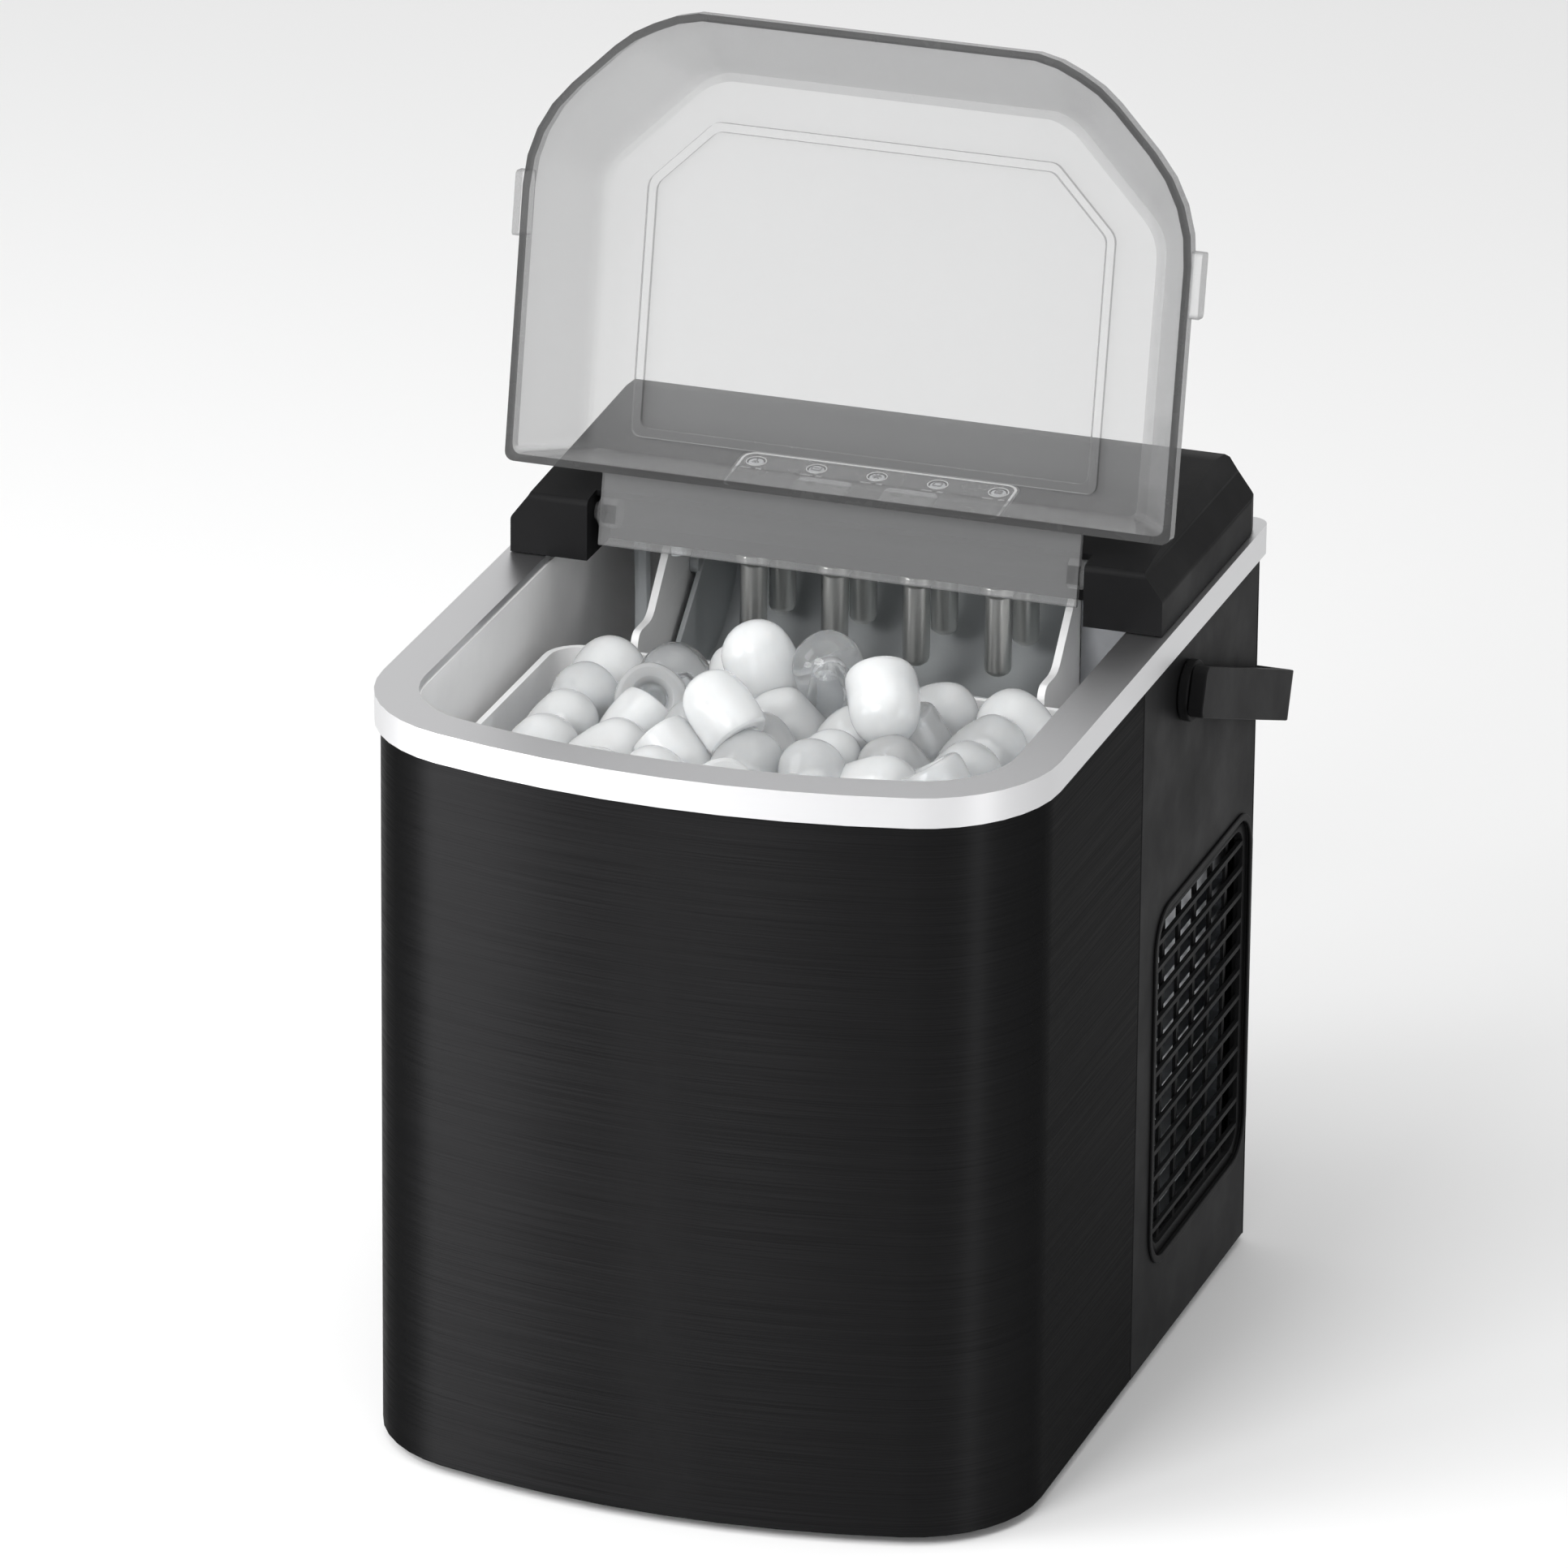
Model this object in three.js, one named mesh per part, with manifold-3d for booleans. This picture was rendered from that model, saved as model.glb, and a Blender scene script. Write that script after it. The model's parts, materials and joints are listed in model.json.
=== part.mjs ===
// Countertop bullet-ice maker, as a bench-disassembly assembly of separate pieces.
// Millimetres, +Z up, front towards -Y. The lid stands open, the handle is folded back.
import * as THREE from 'three';
import { mergeVertices } from 'three/addons/utils/BufferGeometryUtils.js';
import Module from 'manifold-3d';

const wasm = await Module();
wasm.setup();

// ---------------------------------------------------------------- driving dimensions
const GAP = 0.3; // clearance between pieces that touch
const SKIN = 2; // casing wall
const FOOT_HEIGHT = 3;
const BODY_HEIGHT = 240; // casing, from its lower edge to the rim
const RIM_WIDTH = 222;
const RIM_DEPTH = 277;
const RIM_HEIGHT = 10;
const RIM_RING = 14; // width of the flat top of the rim
const RIM_PLATE = 2.5;
const RIM_STEP = 2; // how far the rim overhangs the casing
const FRONT_BOW = 22; // how far the front bulges
const FRONT_CORNER = 46;
const REAR_CORNER = 6;
const SEAM_Y = 9; // where the front wrap meets the side panels

const COVER_FRONT = 26; // front faces of the cover's two shoulders
const COVER_SIDE_HEIGHT = 12; // upright part of the cover's side
const COVER_FRONT_HEIGHT = 20.5;
const DECK_SLOPE = THREE.MathUtils.degToRad(5.4);
const COVER_REAR_FILLET = 24;
const COVER_CORNER = 14; // rear corners at the rim
const DECK_CORNER = 44; // the same corners up at the deck
const COVER_WALL = 2.5;
const SHOULDER_INNER = RIM_WIDTH / 2 - 28; // half the gap between the shoulders

const HINGE_Y = 36;
const HINGE_Z = BODY_HEIGHT + RIM_HEIGHT + 14;
const LID_OPEN = THREE.MathUtils.degToRad(101);
const LID_WALL = 2.5;
const LID_SKIRT = 13.5; // the skirt's edge, below the hinge line when shut
const LID_TOP = 17; // the top plate, above the hinge line when shut
const LID_REAR = 15; // start of the full-width part, forward of the hinge line
const LID_HALF = RIM_WIDTH / 2;
const LID_REACH = RIM_DEPTH / 2 + HINGE_Y - 6.5;
const TONGUE_HALF = SHOULDER_INNER - 3;
const TONGUE_TOP = -4;
const TONGUE_BACK = 10;
const HINGE_PIN_RADIUS = 3;
const HINGE_CLEARANCE = 0.8;

const PIVOT_Y = 53; // carry handle
const PIVOT_Z = BODY_HEIGHT - 17.4;
const HANDLE_WIDTH = 16.5;
const HANDLE_THICK = 5;
const HANDLE_REACH = 103;
const HANDLE_GRIP = 8;
const HANDLE_DROOP = THREE.MathUtils.degToRad(21);
const HANDLE_INNER = RIM_WIDTH / 2 + 2; // inside faces of the arms
const HANDLE_PIN_RADIUS = 4;

const VENT = { y0: 27, y1: RIM_DEPTH / 2 - 10, z0: 32, z1: BODY_HEIGHT - 87, radius: 12 };
const VENT_PITCH = 9.1;
const VENT_RIB_PITCH = 17;

const LINER_INSET = 12;
const LINER_WALL = 2.5;
const BIN_FLOOR = BODY_HEIGHT - 128;
const SHELF_FLOOR = BODY_HEIGHT - 90;
const BIN_REAR = 28;
const BASKET_INSET = 20;
const BASKET_WALL = 2;
const BASKET_REAR = 20;
const BASKET_BOTTOM = BIN_FLOOR + 13;
const BASKET_TOP = BODY_HEIGHT - 16;
const RIB_X = 58;

const TRAY_Y = 83.5; // axis of the tipping water tray
const TRAY_Z = BODY_HEIGHT - 8;
const TRAY_RADIUS = 37;
const TRAY_WALL = 1.8;
const TRAY_HALF = RIM_WIDTH / 2 - 46;
const TRAY_TIP = THREE.MathUtils.degToRad(40);
const TRAY_SHAFT = 4;
const GUIDE_INNER = TRAY_HALF + 2;
const GUIDE_WALL = 2.5;
const PUMP_X = 28 - RIM_WIDTH / 2;
const PUMP_Y = 80;
const FINGER_RADIUS = 4.5;
const FINGER_LENGTH = 32;
const FINGER_PITCH = 27.6;
const FINGER_ROWS = [69, 98];
const BLOCK = { x: TRAY_HALF - 5, y0: 61.5, y1: 105.5, z0: BODY_HEIGHT + 4, z1: BODY_HEIGHT + 18 };
const PUSHER = { y: 33, z0: BODY_HEIGHT - 42, z1: BODY_HEIGHT - 28, thick: 2, travel: 8 };

const PANEL = { width: 94, depth: 28, y: 27, thick: 0.8, pocket: 1.1 }; // y: back from the deck's front edge
const BUTTON = { width: 17.7, depth: 10.4, x: 14.5, y: 21.5, height: 1.4 };
const LENS_PITCH = 20.4;
const LENS_RADIUS = 2.6;
const LENS_Y = 34;

const COMPRESSOR = { x: -32, y: -32, radius: 46, base: 9, top: BIN_FLOOR - 10 };
const CONDENSER = {
  x0: RIM_WIDTH / 2 - 26.5, x1: RIM_WIDTH / 2 - 9, y0: 33, y1: 129, z0: 30, z1: SHELF_FLOOR - 10,
};
const FAN = { y: 82, z: 86, radius: 45, x0: CONDENSER.x0 - 15.5, x1: CONDENSER.x0 - 4.5 };
const FAN_MOTOR = { radius: 18, x0: FAN.x0 - 39, x1: FAN.x0 - 5 };
const PIPE_RADIUS = 3;
const SUCTION_X = 30;
const INLET = { x: 41 - RIM_WIDTH / 2, z: 30, radius: 6 };
const DRAIN = { x: RIM_WIDTH / 2 - 51, z: 26, radius: 9 };

const FEET_X = RIM_WIDTH / 2 - 33;
const FEET_Y = [50.5 - RIM_DEPTH / 2, RIM_DEPTH / 2 - 30.5];
const ARC_STEPS = 4; // straight pieces in a fillet, and half those in a bend of the casing

// ---------------------------------------------------------------- materials
function finish(color, roughness, metalness, opacity = 1) {
  return new THREE.MeshStandardMaterial({
    color, roughness, metalness, opacity, transparent: opacity < 1,
  });
}
const brushedBlack = () => finish(0x1c1c1e, 0.36, 0.85);
const blackPlastic = () => finish(0x1d1d1f, 0.5, 0);
const brushedSteel = () => finish(0xcfd0d2, 0.3, 1);
const smokeClear = () => finish(0x8d9094, 0.08, 0, 0.37);
const whitePlastic = () => finish(0xeceef0, 0.4, 0);
const greyPlastic = () => finish(0xb9bcc0, 0.45, 0);
const nickel = () => finish(0xb4b4b2, 0.28, 1);
const rubber = () => finish(0x17171a, 0.85, 0);
const copper = () => finish(0xb87347, 0.35, 1);
const motorSteel = () => finish(0x8f9296, 0.45, 0.9);
const blackSteel = () => finish(0x222225, 0.4, 0.5);
const boardGreen = () => finish(0x1f5a36, 0.55, 0);
const lensWhite = () => finish(0xe8ecef, 0.25, 0);

// ---------------------------------------------------------------- solids
function toSolid(geometry) {
  const bare = geometry.clone();
  bare.deleteAttribute('normal');
  bare.deleteAttribute('uv');
  const merged = mergeVertices(bare, 1e-4);
  const corners = merged.index.array;
  const kept = [];
  for (let i = 0; i < corners.length; i += 3) {
    const [a, b, c] = [corners[i], corners[i + 1], corners[i + 2]];
    if (a !== b && b !== c && c !== a) kept.push(a, b, c);
  }
  return new wasm.Manifold(new wasm.Mesh({
    numProp: 3,
    vertProperties: new Float32Array(merged.attributes.position.array),
    triVerts: new Uint32Array(kept),
  }));
}

function toGeometry(solid) {
  const mesh = solid.getMesh();
  const geometry = new THREE.BufferGeometry();
  geometry.setAttribute('position', new THREE.BufferAttribute(mesh.vertProperties, 3));
  geometry.setIndex(new THREE.BufferAttribute(mesh.triVerts, 1));
  geometry.computeVertexNormals();
  return geometry;
}

function join(...pieces) {
  return toGeometry(pieces.map(toSolid).reduce((a, b) => a.add(b)));
}

function cut(base, ...tools) {
  return toGeometry(tools.map(toSolid).reduce((a, b) => a.subtract(b), toSolid(base)));
}

function common(...pieces) {
  return toGeometry(pieces.map(toSolid).reduce((a, b) => a.intersect(b)));
}

function addPart(parent, name, geometry, material) {
  const mesh = new THREE.Mesh(toGeometry(toSolid(geometry)), material);
  mesh.name = name;
  parent.add(mesh);
  return mesh;
}

// ---------------------------------------------------------------- shapes
// The points of a closed outline through the corners [x, y, fillet radius].
function roundedPoints(corners, steps = ARC_STEPS) {
  return corners.flatMap(([x, y, radius], i) => {
    const corner = new THREE.Vector2(x, y);
    if (!radius) return [corner];
    const [beforeX, beforeY] = corners.at(i - 1);
    const [afterX, afterY] = corners[(i + 1) % corners.length];
    const before = new THREE.Vector2(beforeX, beforeY).sub(corner).normalize();
    const after = new THREE.Vector2(afterX, afterY).sub(corner).normalize();
    const half = Math.acos(THREE.MathUtils.clamp(before.dot(after), -1, 1)) / 2;
    const middle = before.clone().add(after).normalize();
    const centre = corner.clone().addScaledVector(middle, radius / Math.sin(half));
    const start = corner.clone().addScaledVector(before, radius / Math.tan(half)).sub(centre);
    const turn = Math.sign(after.cross(before)) * (Math.PI - 2 * half);
    return Array.from({ length: steps + 1 }, (_, k) => {
      const angle = start.angle() + (turn * k) / steps;
      return new THREE.Vector2(centre.x + radius * Math.cos(angle), centre.y + radius * Math.sin(angle));
    });
  });
}

function roundedShape(corners, steps) {
  return new THREE.Shape(roundedPoints(corners, steps));
}

function roundedRect(x0, x1, y0, y1, radius) {
  return roundedShape([[x0, y0, radius], [x1, y0, radius], [x1, y1, radius], [x0, y1, radius]]);
}

function circle(x, y, radius, sides = 20) {
  return new THREE.Shape(Array.from({ length: sides }, (_, i) => {
    const angle = (i * 2 * Math.PI) / sides;
    return new THREE.Vector2(x + radius * Math.cos(angle), y + radius * Math.sin(angle));
  }));
}

function withHoles(shape, ...holes) {
  shape.holes.push(...holes);
  return shape;
}

function extrude(shape, depth, curveSegments = ARC_STEPS) {
  return new THREE.ExtrudeGeometry(shape, { depth, curveSegments, bevelEnabled: false });
}

// Drawn in (x, y), standing between two heights.
function prismZ(shape, z0, z1, segments) {
  return extrude(shape, z1 - z0, segments).translate(0, 0, z0);
}

// Drawn in (y, z), lying between two x values.
function prismX(shape, x0, x1, segments) {
  const turn = new THREE.Matrix4().makeBasis(
    new THREE.Vector3(0, 1, 0), new THREE.Vector3(0, 0, 1), new THREE.Vector3(1, 0, 0),
  );
  return extrude(shape, Math.abs(x1 - x0), segments).applyMatrix4(turn).translate(Math.min(x0, x1), 0, 0);
}

// Drawn in (x, z), lying between two y values.
function prismY(shape, y0, y1, segments) {
  const turn = new THREE.Matrix4().makeBasis(
    new THREE.Vector3(1, 0, 0), new THREE.Vector3(0, 0, 1), new THREE.Vector3(0, -1, 0),
  );
  return extrude(shape, y1 - y0, segments).applyMatrix4(turn).translate(0, y1, 0);
}

function block(x0, x1, y0, y1, z0, z1) {
  const geometry = new THREE.BoxGeometry(x1 - x0, y1 - y0, z1 - z0);
  return geometry.translate((x0 + x1) / 2, (y0 + y1) / 2, (z0 + z1) / 2);
}

function rodX(radius, x0, x1, y, z, sides = 20) {
  const geometry = new THREE.CylinderGeometry(radius, radius, Math.abs(x1 - x0), sides);
  return geometry.rotateZ(Math.PI / 2).translate((x0 + x1) / 2, y, z);
}

function rodZ(radius, z0, z1, x, y, sides = 16) {
  const geometry = new THREE.CylinderGeometry(radius, radius, z1 - z0, sides);
  return geometry.rotateX(Math.PI / 2).translate(x, y, (z0 + z1) / 2);
}

// A body of revolution about Z from [radius, z] points.
function lathe(points, sides = 20) {
  const profile = points.map(([radius, z]) => new THREE.Vector2(radius, z));
  return new THREE.LatheGeometry(profile, sides).rotateX(Math.PI / 2);
}

function pipe(points, radius, steps = 18) {
  const route = new THREE.CatmullRomCurve3(points.map((p) => new THREE.Vector3(...p)), false, 'centripetal');
  const section = circle(0, 0, radius, 8);
  return new THREE.ExtrudeGeometry(section, { steps, extrudePath: route, bevelEnabled: false });
}

// A solid through outlines of equal point counts, each at its own height.
function loft(levels) {
  const count = levels[0].points.length;
  const positions = levels.flatMap(({ z, points }) => points.flatMap((p) => [p.x, p.y, z]));
  const faces = [];
  for (let level = 0; level + 1 < levels.length; level += 1) {
    for (let i = 0; i < count; i += 1) {
      const a = level * count + i;
      const b = level * count + ((i + 1) % count);
      faces.push(a, b, b + count, a, b + count, a + count);
    }
  }
  const top = (levels.length - 1) * count;
  THREE.ShapeUtils.triangulateShape(levels[0].points, [])
    .forEach(([a, b, c]) => faces.push(c, b, a));
  THREE.ShapeUtils.triangulateShape(levels.at(-1).points, [])
    .forEach(([a, b, c]) => faces.push(a + top, b + top, c + top));
  const geometry = new THREE.BufferGeometry();
  geometry.setAttribute('position', new THREE.Float32BufferAttribute(positions, 3));
  geometry.setIndex(faces);
  return geometry;
}

// ---------------------------------------------------------------- the machine's plan
const HALF_WIDTH = RIM_WIDTH / 2;
const BOW_RADIUS = (HALF_WIDTH ** 2 + FRONT_BOW ** 2) / (2 * FRONT_BOW);
const BOW_Y = BOW_RADIUS - RIM_DEPTH / 2;
const CORNER_X = HALF_WIDTH - FRONT_CORNER;
const CORNER_Y = BOW_Y - Math.sqrt((BOW_RADIUS - FRONT_CORNER) ** 2 - CORNER_X ** 2);
const CORNER_ANGLE = Math.atan2(BOW_Y - CORNER_Y, CORNER_X);
const REAR_Y = RIM_DEPTH / 2;

// From the left side at y, round the bowed front, to the right side at y.
function frontPath(path, inset, y) {
  path.moveTo(-(HALF_WIDTH - inset), y);
  path.lineTo(-(HALF_WIDTH - inset), CORNER_Y);
  path.absarc(-CORNER_X, CORNER_Y, FRONT_CORNER - inset, Math.PI, Math.PI + CORNER_ANGLE, false);
  path.absarc(0, BOW_Y, BOW_RADIUS - inset, Math.PI + CORNER_ANGLE, 2 * Math.PI - CORNER_ANGLE, false);
  path.absarc(CORNER_X, CORNER_Y, FRONT_CORNER - inset, -CORNER_ANGLE, 0, false);
  path.lineTo(HALF_WIDTH - inset, y);
  return path;
}

// The whole plan, moved inwards by inset, with its rear edge at rear.
function planShape(inset, rear = REAR_Y - inset, radius = Math.max(REAR_CORNER - inset, 1)) {
  const side = HALF_WIDTH - inset;
  const shape = frontPath(new THREE.Shape(), inset, rear - radius);
  shape.absarc(side - radius, rear - radius, radius, 0, Math.PI / 2, false);
  shape.lineTo(radius - side, rear);
  shape.absarc(radius - side, rear - radius, radius, Math.PI / 2, Math.PI, false);
  return shape;
}

function planRing(outer, inner) {
  return withHoles(planShape(outer), planShape(inner));
}

// ---------------------------------------------------------------- casing
const RIM_TOP = BODY_HEIGHT + RIM_HEIGHT;
const CASE_TOP = BODY_HEIGHT - GAP;
const CASE_HALF = HALF_WIDTH - RIM_STEP;
const REAR_SPLIT = REAR_Y - REAR_CORNER;
const PAN_INSET = RIM_STEP + SKIN + GAP;

function frontWrap() {
  const outer = frontPath(new THREE.Path(), RIM_STEP, SEAM_Y).getPoints(ARC_STEPS);
  const inner = frontPath(new THREE.Path(), RIM_STEP + SKIN, SEAM_Y).getPoints(ARC_STEPS);
  return prismZ(new THREE.Shape([...outer, ...inner.reverse()]), 0, CASE_TOP);
}

function sidePanel(side) {
  const sheet = roundedRect(SEAM_Y + GAP, REAR_SPLIT - GAP, 0, CASE_TOP, 0);
  const vent = roundedRect(VENT.y0, VENT.y1, VENT.z0, VENT.z1, VENT.radius);
  const screw = circle(PIVOT_Y, PIVOT_Z, HANDLE_PIN_RADIUS - 1 + GAP);
  return prismX(withHoles(sheet, vent, screw), side * (CASE_HALF - SKIN), side * CASE_HALF);
}

function ventGrille(side) {
  const frameWidth = 4;
  const y0 = VENT.y0 + GAP;
  const y1 = VENT.y1 - GAP;
  const z0 = VENT.z0 + GAP;
  const z1 = VENT.z1 - GAP;
  const outer = roundedRect(y0, y1, z0, z1, VENT.radius - GAP);
  const hole = roundedRect(
    y0 + frameWidth, y1 - frameWidth, z0 + frameWidth, z1 - frameWidth, VENT.radius - frameWidth,
  );
  const back = side * (CASE_HALF - 3.5);
  const front = side * (CASE_HALF - 0.7);
  const middle = side * (CASE_HALF - 2.1);
  const bars = [];
  const barHeight = 1.6;
  const rows = Math.floor((z1 - z0 - frameWidth) / VENT_PITCH);
  const firstRow = (z0 + z1 - (rows - 1) * VENT_PITCH) / 2;
  for (let i = 0; i < rows; i += 1) {
    const z = firstRow + i * VENT_PITCH;
    bars.push(prismX(roundedRect(y0 + 1, y1 - 1, z - barHeight / 2, z + barHeight / 2, 0), middle, front));
  }
  const ribWidth = 2.5;
  const ribs = Math.floor((y1 - y0 - frameWidth) / VENT_RIB_PITCH);
  const firstRib = (y0 + y1 - (ribs - 1) * VENT_RIB_PITCH) / 2;
  for (let i = 0; i < ribs; i += 1) {
    const y = firstRib + i * VENT_RIB_PITCH;
    bars.push(prismX(
      roundedRect(y - ribWidth / 2, y + ribWidth / 2, z0 + 1, z1 - 1, 0), back, middle - side * GAP,
    ));
  }
  const frame = prismX(withHoles(outer, hole), back, front);
  return common(join(frame, ...bars), prismX(roundedRect(y0, y1, z0, z1, VENT.radius - GAP), back, front));
}

function rearPanel() {
  const edge = (path, inset) => {
    const side = HALF_WIDTH - inset;
    const radius = REAR_CORNER - inset;
    path.absarc(side - radius, REAR_SPLIT, radius, 0, Math.PI / 2, false);
    path.absarc(radius - side, REAR_SPLIT, radius, Math.PI / 2, Math.PI, false);
    return path.getPoints(3);
  };
  const outer = edge(new THREE.Path(), RIM_STEP);
  const inner = edge(new THREE.Path(), RIM_STEP + SKIN);
  const shell = prismZ(new THREE.Shape([...outer, ...inner.reverse()]), 0, CASE_TOP);
  const face = REAR_Y - RIM_STEP;
  const slots = [];
  for (let i = 0; i < 8; i += 1) {
    const z = 70 + i * 9;
    slots.push(block(-48, 48, face - SKIN - 1, face + 1, z, z + 4.5));
  }
  const inlet = prismY(circle(INLET.x, INLET.z, INLET.radius + GAP), face - SKIN - 1, face + 1);
  const drain = prismY(circle(DRAIN.x, DRAIN.z, DRAIN.radius - 3 + GAP), face - SKIN - 1, face + 1);
  return cut(shell, ...slots, inlet, drain);
}

function basePan() {
  const floor = prismZ(planShape(PAN_INSET), 0, 3);
  const lip = prismZ(planRing(PAN_INSET, PAN_INSET + SKIN), 2, 15);
  const holes = [];
  for (const x of [-FEET_X, FEET_X]) {
    for (const y of FEET_Y) holes.push(rodZ(2.5 + GAP, -1, 4, x, y));
  }
  for (let i = 0; i < 6; i += 1) {
    holes.push(block(-30, 50, 38 + i * 12, 43 + i * 12, -1, 4));
  }
  return cut(join(floor, lip), ...holes);
}

function foot() {
  return lathe([[0, -FOOT_HEIGHT], [9, -FOOT_HEIGHT], [10, -GAP], [2.5, -GAP], [2.5, 5], [0, 5]]);
}

function rimTrim() {
  const band = prismZ(planRing(0, RIM_STEP), BODY_HEIGHT, RIM_TOP);
  const plate = prismZ(planRing(1, RIM_RING), RIM_TOP - RIM_PLATE, RIM_TOP);
  const notch = block(
    SUCTION_X - 9, SUCTION_X + 9, REAR_Y - RIM_RING - 1, REAR_Y - RIM_STEP - 1,
    RIM_TOP - RIM_PLATE - 1, RIM_TOP + 1,
  );
  return cut(join(band, plate), notch);
}

// ---------------------------------------------------------------- top cover and controls
const COVER_BASE = RIM_TOP + GAP;
const BREAK_Y = HINGE_Y - 1.2; // front edge of the deck between the shoulders
const BREAK_Z = RIM_TOP + COVER_FRONT_HEIGHT + 1;
const COVER_REAR = REAR_Y - RIM_STEP;
const COVER_HALF = CASE_HALF;
const deckHeight = (y) => BREAK_Z + (y - BREAK_Y) * Math.tan(DECK_SLOPE);

// The cover's envelope, moved inwards by inset, from z0 up.
function coverBody(inset, z0) {
  const front = COVER_FRONT + inset;
  const rear = COVER_REAR - inset;
  const side = prismX(roundedShape([
    [front, z0, 0], [rear, z0, 0],
    [rear, deckHeight(rear) - inset, COVER_REAR_FILLET - inset],
    [front, deckHeight(front) - inset, 2],
  ]), -COVER_HALF, COVER_HALF);
  const half = COVER_HALF - inset;
  const shoulder = RIM_TOP + COVER_SIDE_HEIGHT;
  const end = prismY(roundedShape([
    [-half, z0, 0], [half, z0, 0], [half, shoulder, 3], [half - 6, shoulder + 8, 4],
    [half - 14, shoulder + 30, 0], [14 - half, shoulder + 30, 0],
    [6 - half, shoulder + 8, 4], [-half, shoulder, 3],
  ]), front - 1, rear + 1, 3);
  const corners = (radius) => roundedPoints([
    [half, 0, 0], [half, rear, radius], [-half, rear, radius], [-half, 0, 0],
  ]);
  const low = corners(COVER_CORNER - inset);
  const high = corners(DECK_CORNER - inset);
  const plan = loft([
    { z: z0, points: low }, { z: shoulder, points: low },
    { z: RIM_TOP + 32, points: high }, { z: z0 + 60, points: high },
  ]);
  return common(side, end, plan);
}

function onDeck(geometry) {
  return geometry.rotateX(DECK_SLOPE).translate(0, BREAK_Y, BREAK_Z);
}

function buttonOutline(x, grow) {
  return roundedRect(
    x - BUTTON.width / 2 - grow, x + BUTTON.width / 2 + grow,
    BUTTON.y - BUTTON.depth / 2 - grow, BUTTON.y + BUTTON.depth / 2 + grow, 2 + grow,
  );
}

function panelOutline(grow) {
  const y0 = PANEL.y - PANEL.depth / 2;
  return roundedRect(-PANEL.width / 2 - grow, PANEL.width / 2 + grow, y0 - grow, y0 + PANEL.depth + grow, 5);
}

const lensPlaces = [-2, -1, 0, 1, 2].map((i) => i * LENS_PITCH);
const buttonPlaces = [-BUTTON.x, BUTTON.x];

function topCover() {
  const tongueReach = Math.hypot(TONGUE_BACK, LID_WALL - TONGUE_TOP) + HINGE_CLEARANCE;
  const inside = common(
    coverBody(COVER_WALL, COVER_BASE - 1),
    block(
      -COVER_HALF, COVER_HALF, HINGE_Y + tongueReach + COVER_WALL, COVER_REAR, COVER_BASE - 1, RIM_TOP + 60,
    ),
  );
  const gate = SHOULDER_INNER;
  const channel = [
    block(-gate, gate, COVER_FRONT - 2, BREAK_Y, COVER_BASE - 1, RIM_TOP + 60),
    common(
      rodX(tongueReach, -gate, gate, HINGE_Y, HINGE_Z, 32),
      block(-gate, gate, COVER_FRONT - 2, HINGE_Y + tongueReach, COVER_BASE - 1, HINGE_Z + TONGUE_TOP + 1.5),
    ),
    block(-gate, gate, BREAK_Y - 1, HINGE_Y + tongueReach - 1, COVER_BASE - 1, HINGE_Z - 8),
    rodX(5 + HINGE_CLEARANCE, -gate, gate, HINGE_Y, HINGE_Z),
  ];
  const sockets = rodX(HINGE_PIN_RADIUS + GAP, -gate - 6, gate + 6, HINGE_Y, HINGE_Z);
  const pocket = onDeck(prismZ(panelOutline(GAP), -PANEL.pocket, 5));
  const wells = buttonPlaces.map((x) => onDeck(prismZ(buttonOutline(x, GAP), -8, 5, 3)));
  const lights = lensPlaces.map((x) => onDeck(rodZ(LENS_RADIUS + GAP, -8, 5, x, LENS_Y, 16)));
  return cut(coverBody(0, COVER_BASE), inside, ...channel, sockets, pocket, ...wells, ...lights);
}

function addControls(machine) {
  const deck = new THREE.Group();
  deck.position.set(0, BREAK_Y, BREAK_Z);
  deck.rotation.x = DECK_SLOPE;
  machine.add(deck);
  const low = GAP - PANEL.pocket;
  const overlay = withHoles(
    panelOutline(0),
    ...buttonPlaces.map((x) => buttonOutline(x, GAP)),
    ...lensPlaces.map((x) => circle(x, LENS_Y, LENS_RADIUS + GAP)),
  );
  addPart(deck, 'panel_overlay', prismZ(overlay, low, low + PANEL.thick, 3), finish(0x242427, 0.3, 0));
  ['button_power', 'button_select'].forEach((name, i) => {
    addPart(deck, name, prismZ(buttonOutline(buttonPlaces[i], 0), -4, BUTTON.height - 0.6, 3), greyPlastic());
  });
  lensPlaces.forEach((x, i) => {
    const stem = rodZ(LENS_RADIUS, -3.5, low + PANEL.thick, x, LENS_Y, 16);
    addPart(deck, `indicator_lens_${i + 1}`, stem, lensWhite());
  });
  const board = prismZ(roundedRect(-50, 50, 18, 46, 2), -7.2, -5.6, 2);
  const chips = [-32, 0, 30].map((x) => block(x - 6, x + 6, 26, 38, -9.4, -7));
  addPart(deck, 'control_board', join(board, ...chips), boardGreen());
}

// ---------------------------------------------------------------- lid
// The lid's outline at one level: straight sides, cut corners and a bowed front.
function lidOutline(half, front, chamfer, rear, bow, radius) {
  const points = roundedPoints([
    [half, -rear, 3], [-half, -rear, 3],
    [-half, -(chamfer - half), radius],
    [-(chamfer - front), -front, radius * 0.8],
    [chamfer - front, -front, radius * 0.8],
    [half, -(chamfer - half), radius],
  ]);
  return points.map((p) => {
    const nearFront = Math.max(0, (-p.y - front + 12) / 12);
    const bulge = bow * (1 - (p.x / (chamfer - front)) ** 2);
    return new THREE.Vector2(p.x, p.y - (nearFront > 0 ? Math.max(0, bulge) * Math.min(1, nearFront) : 0));
  });
}

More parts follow.
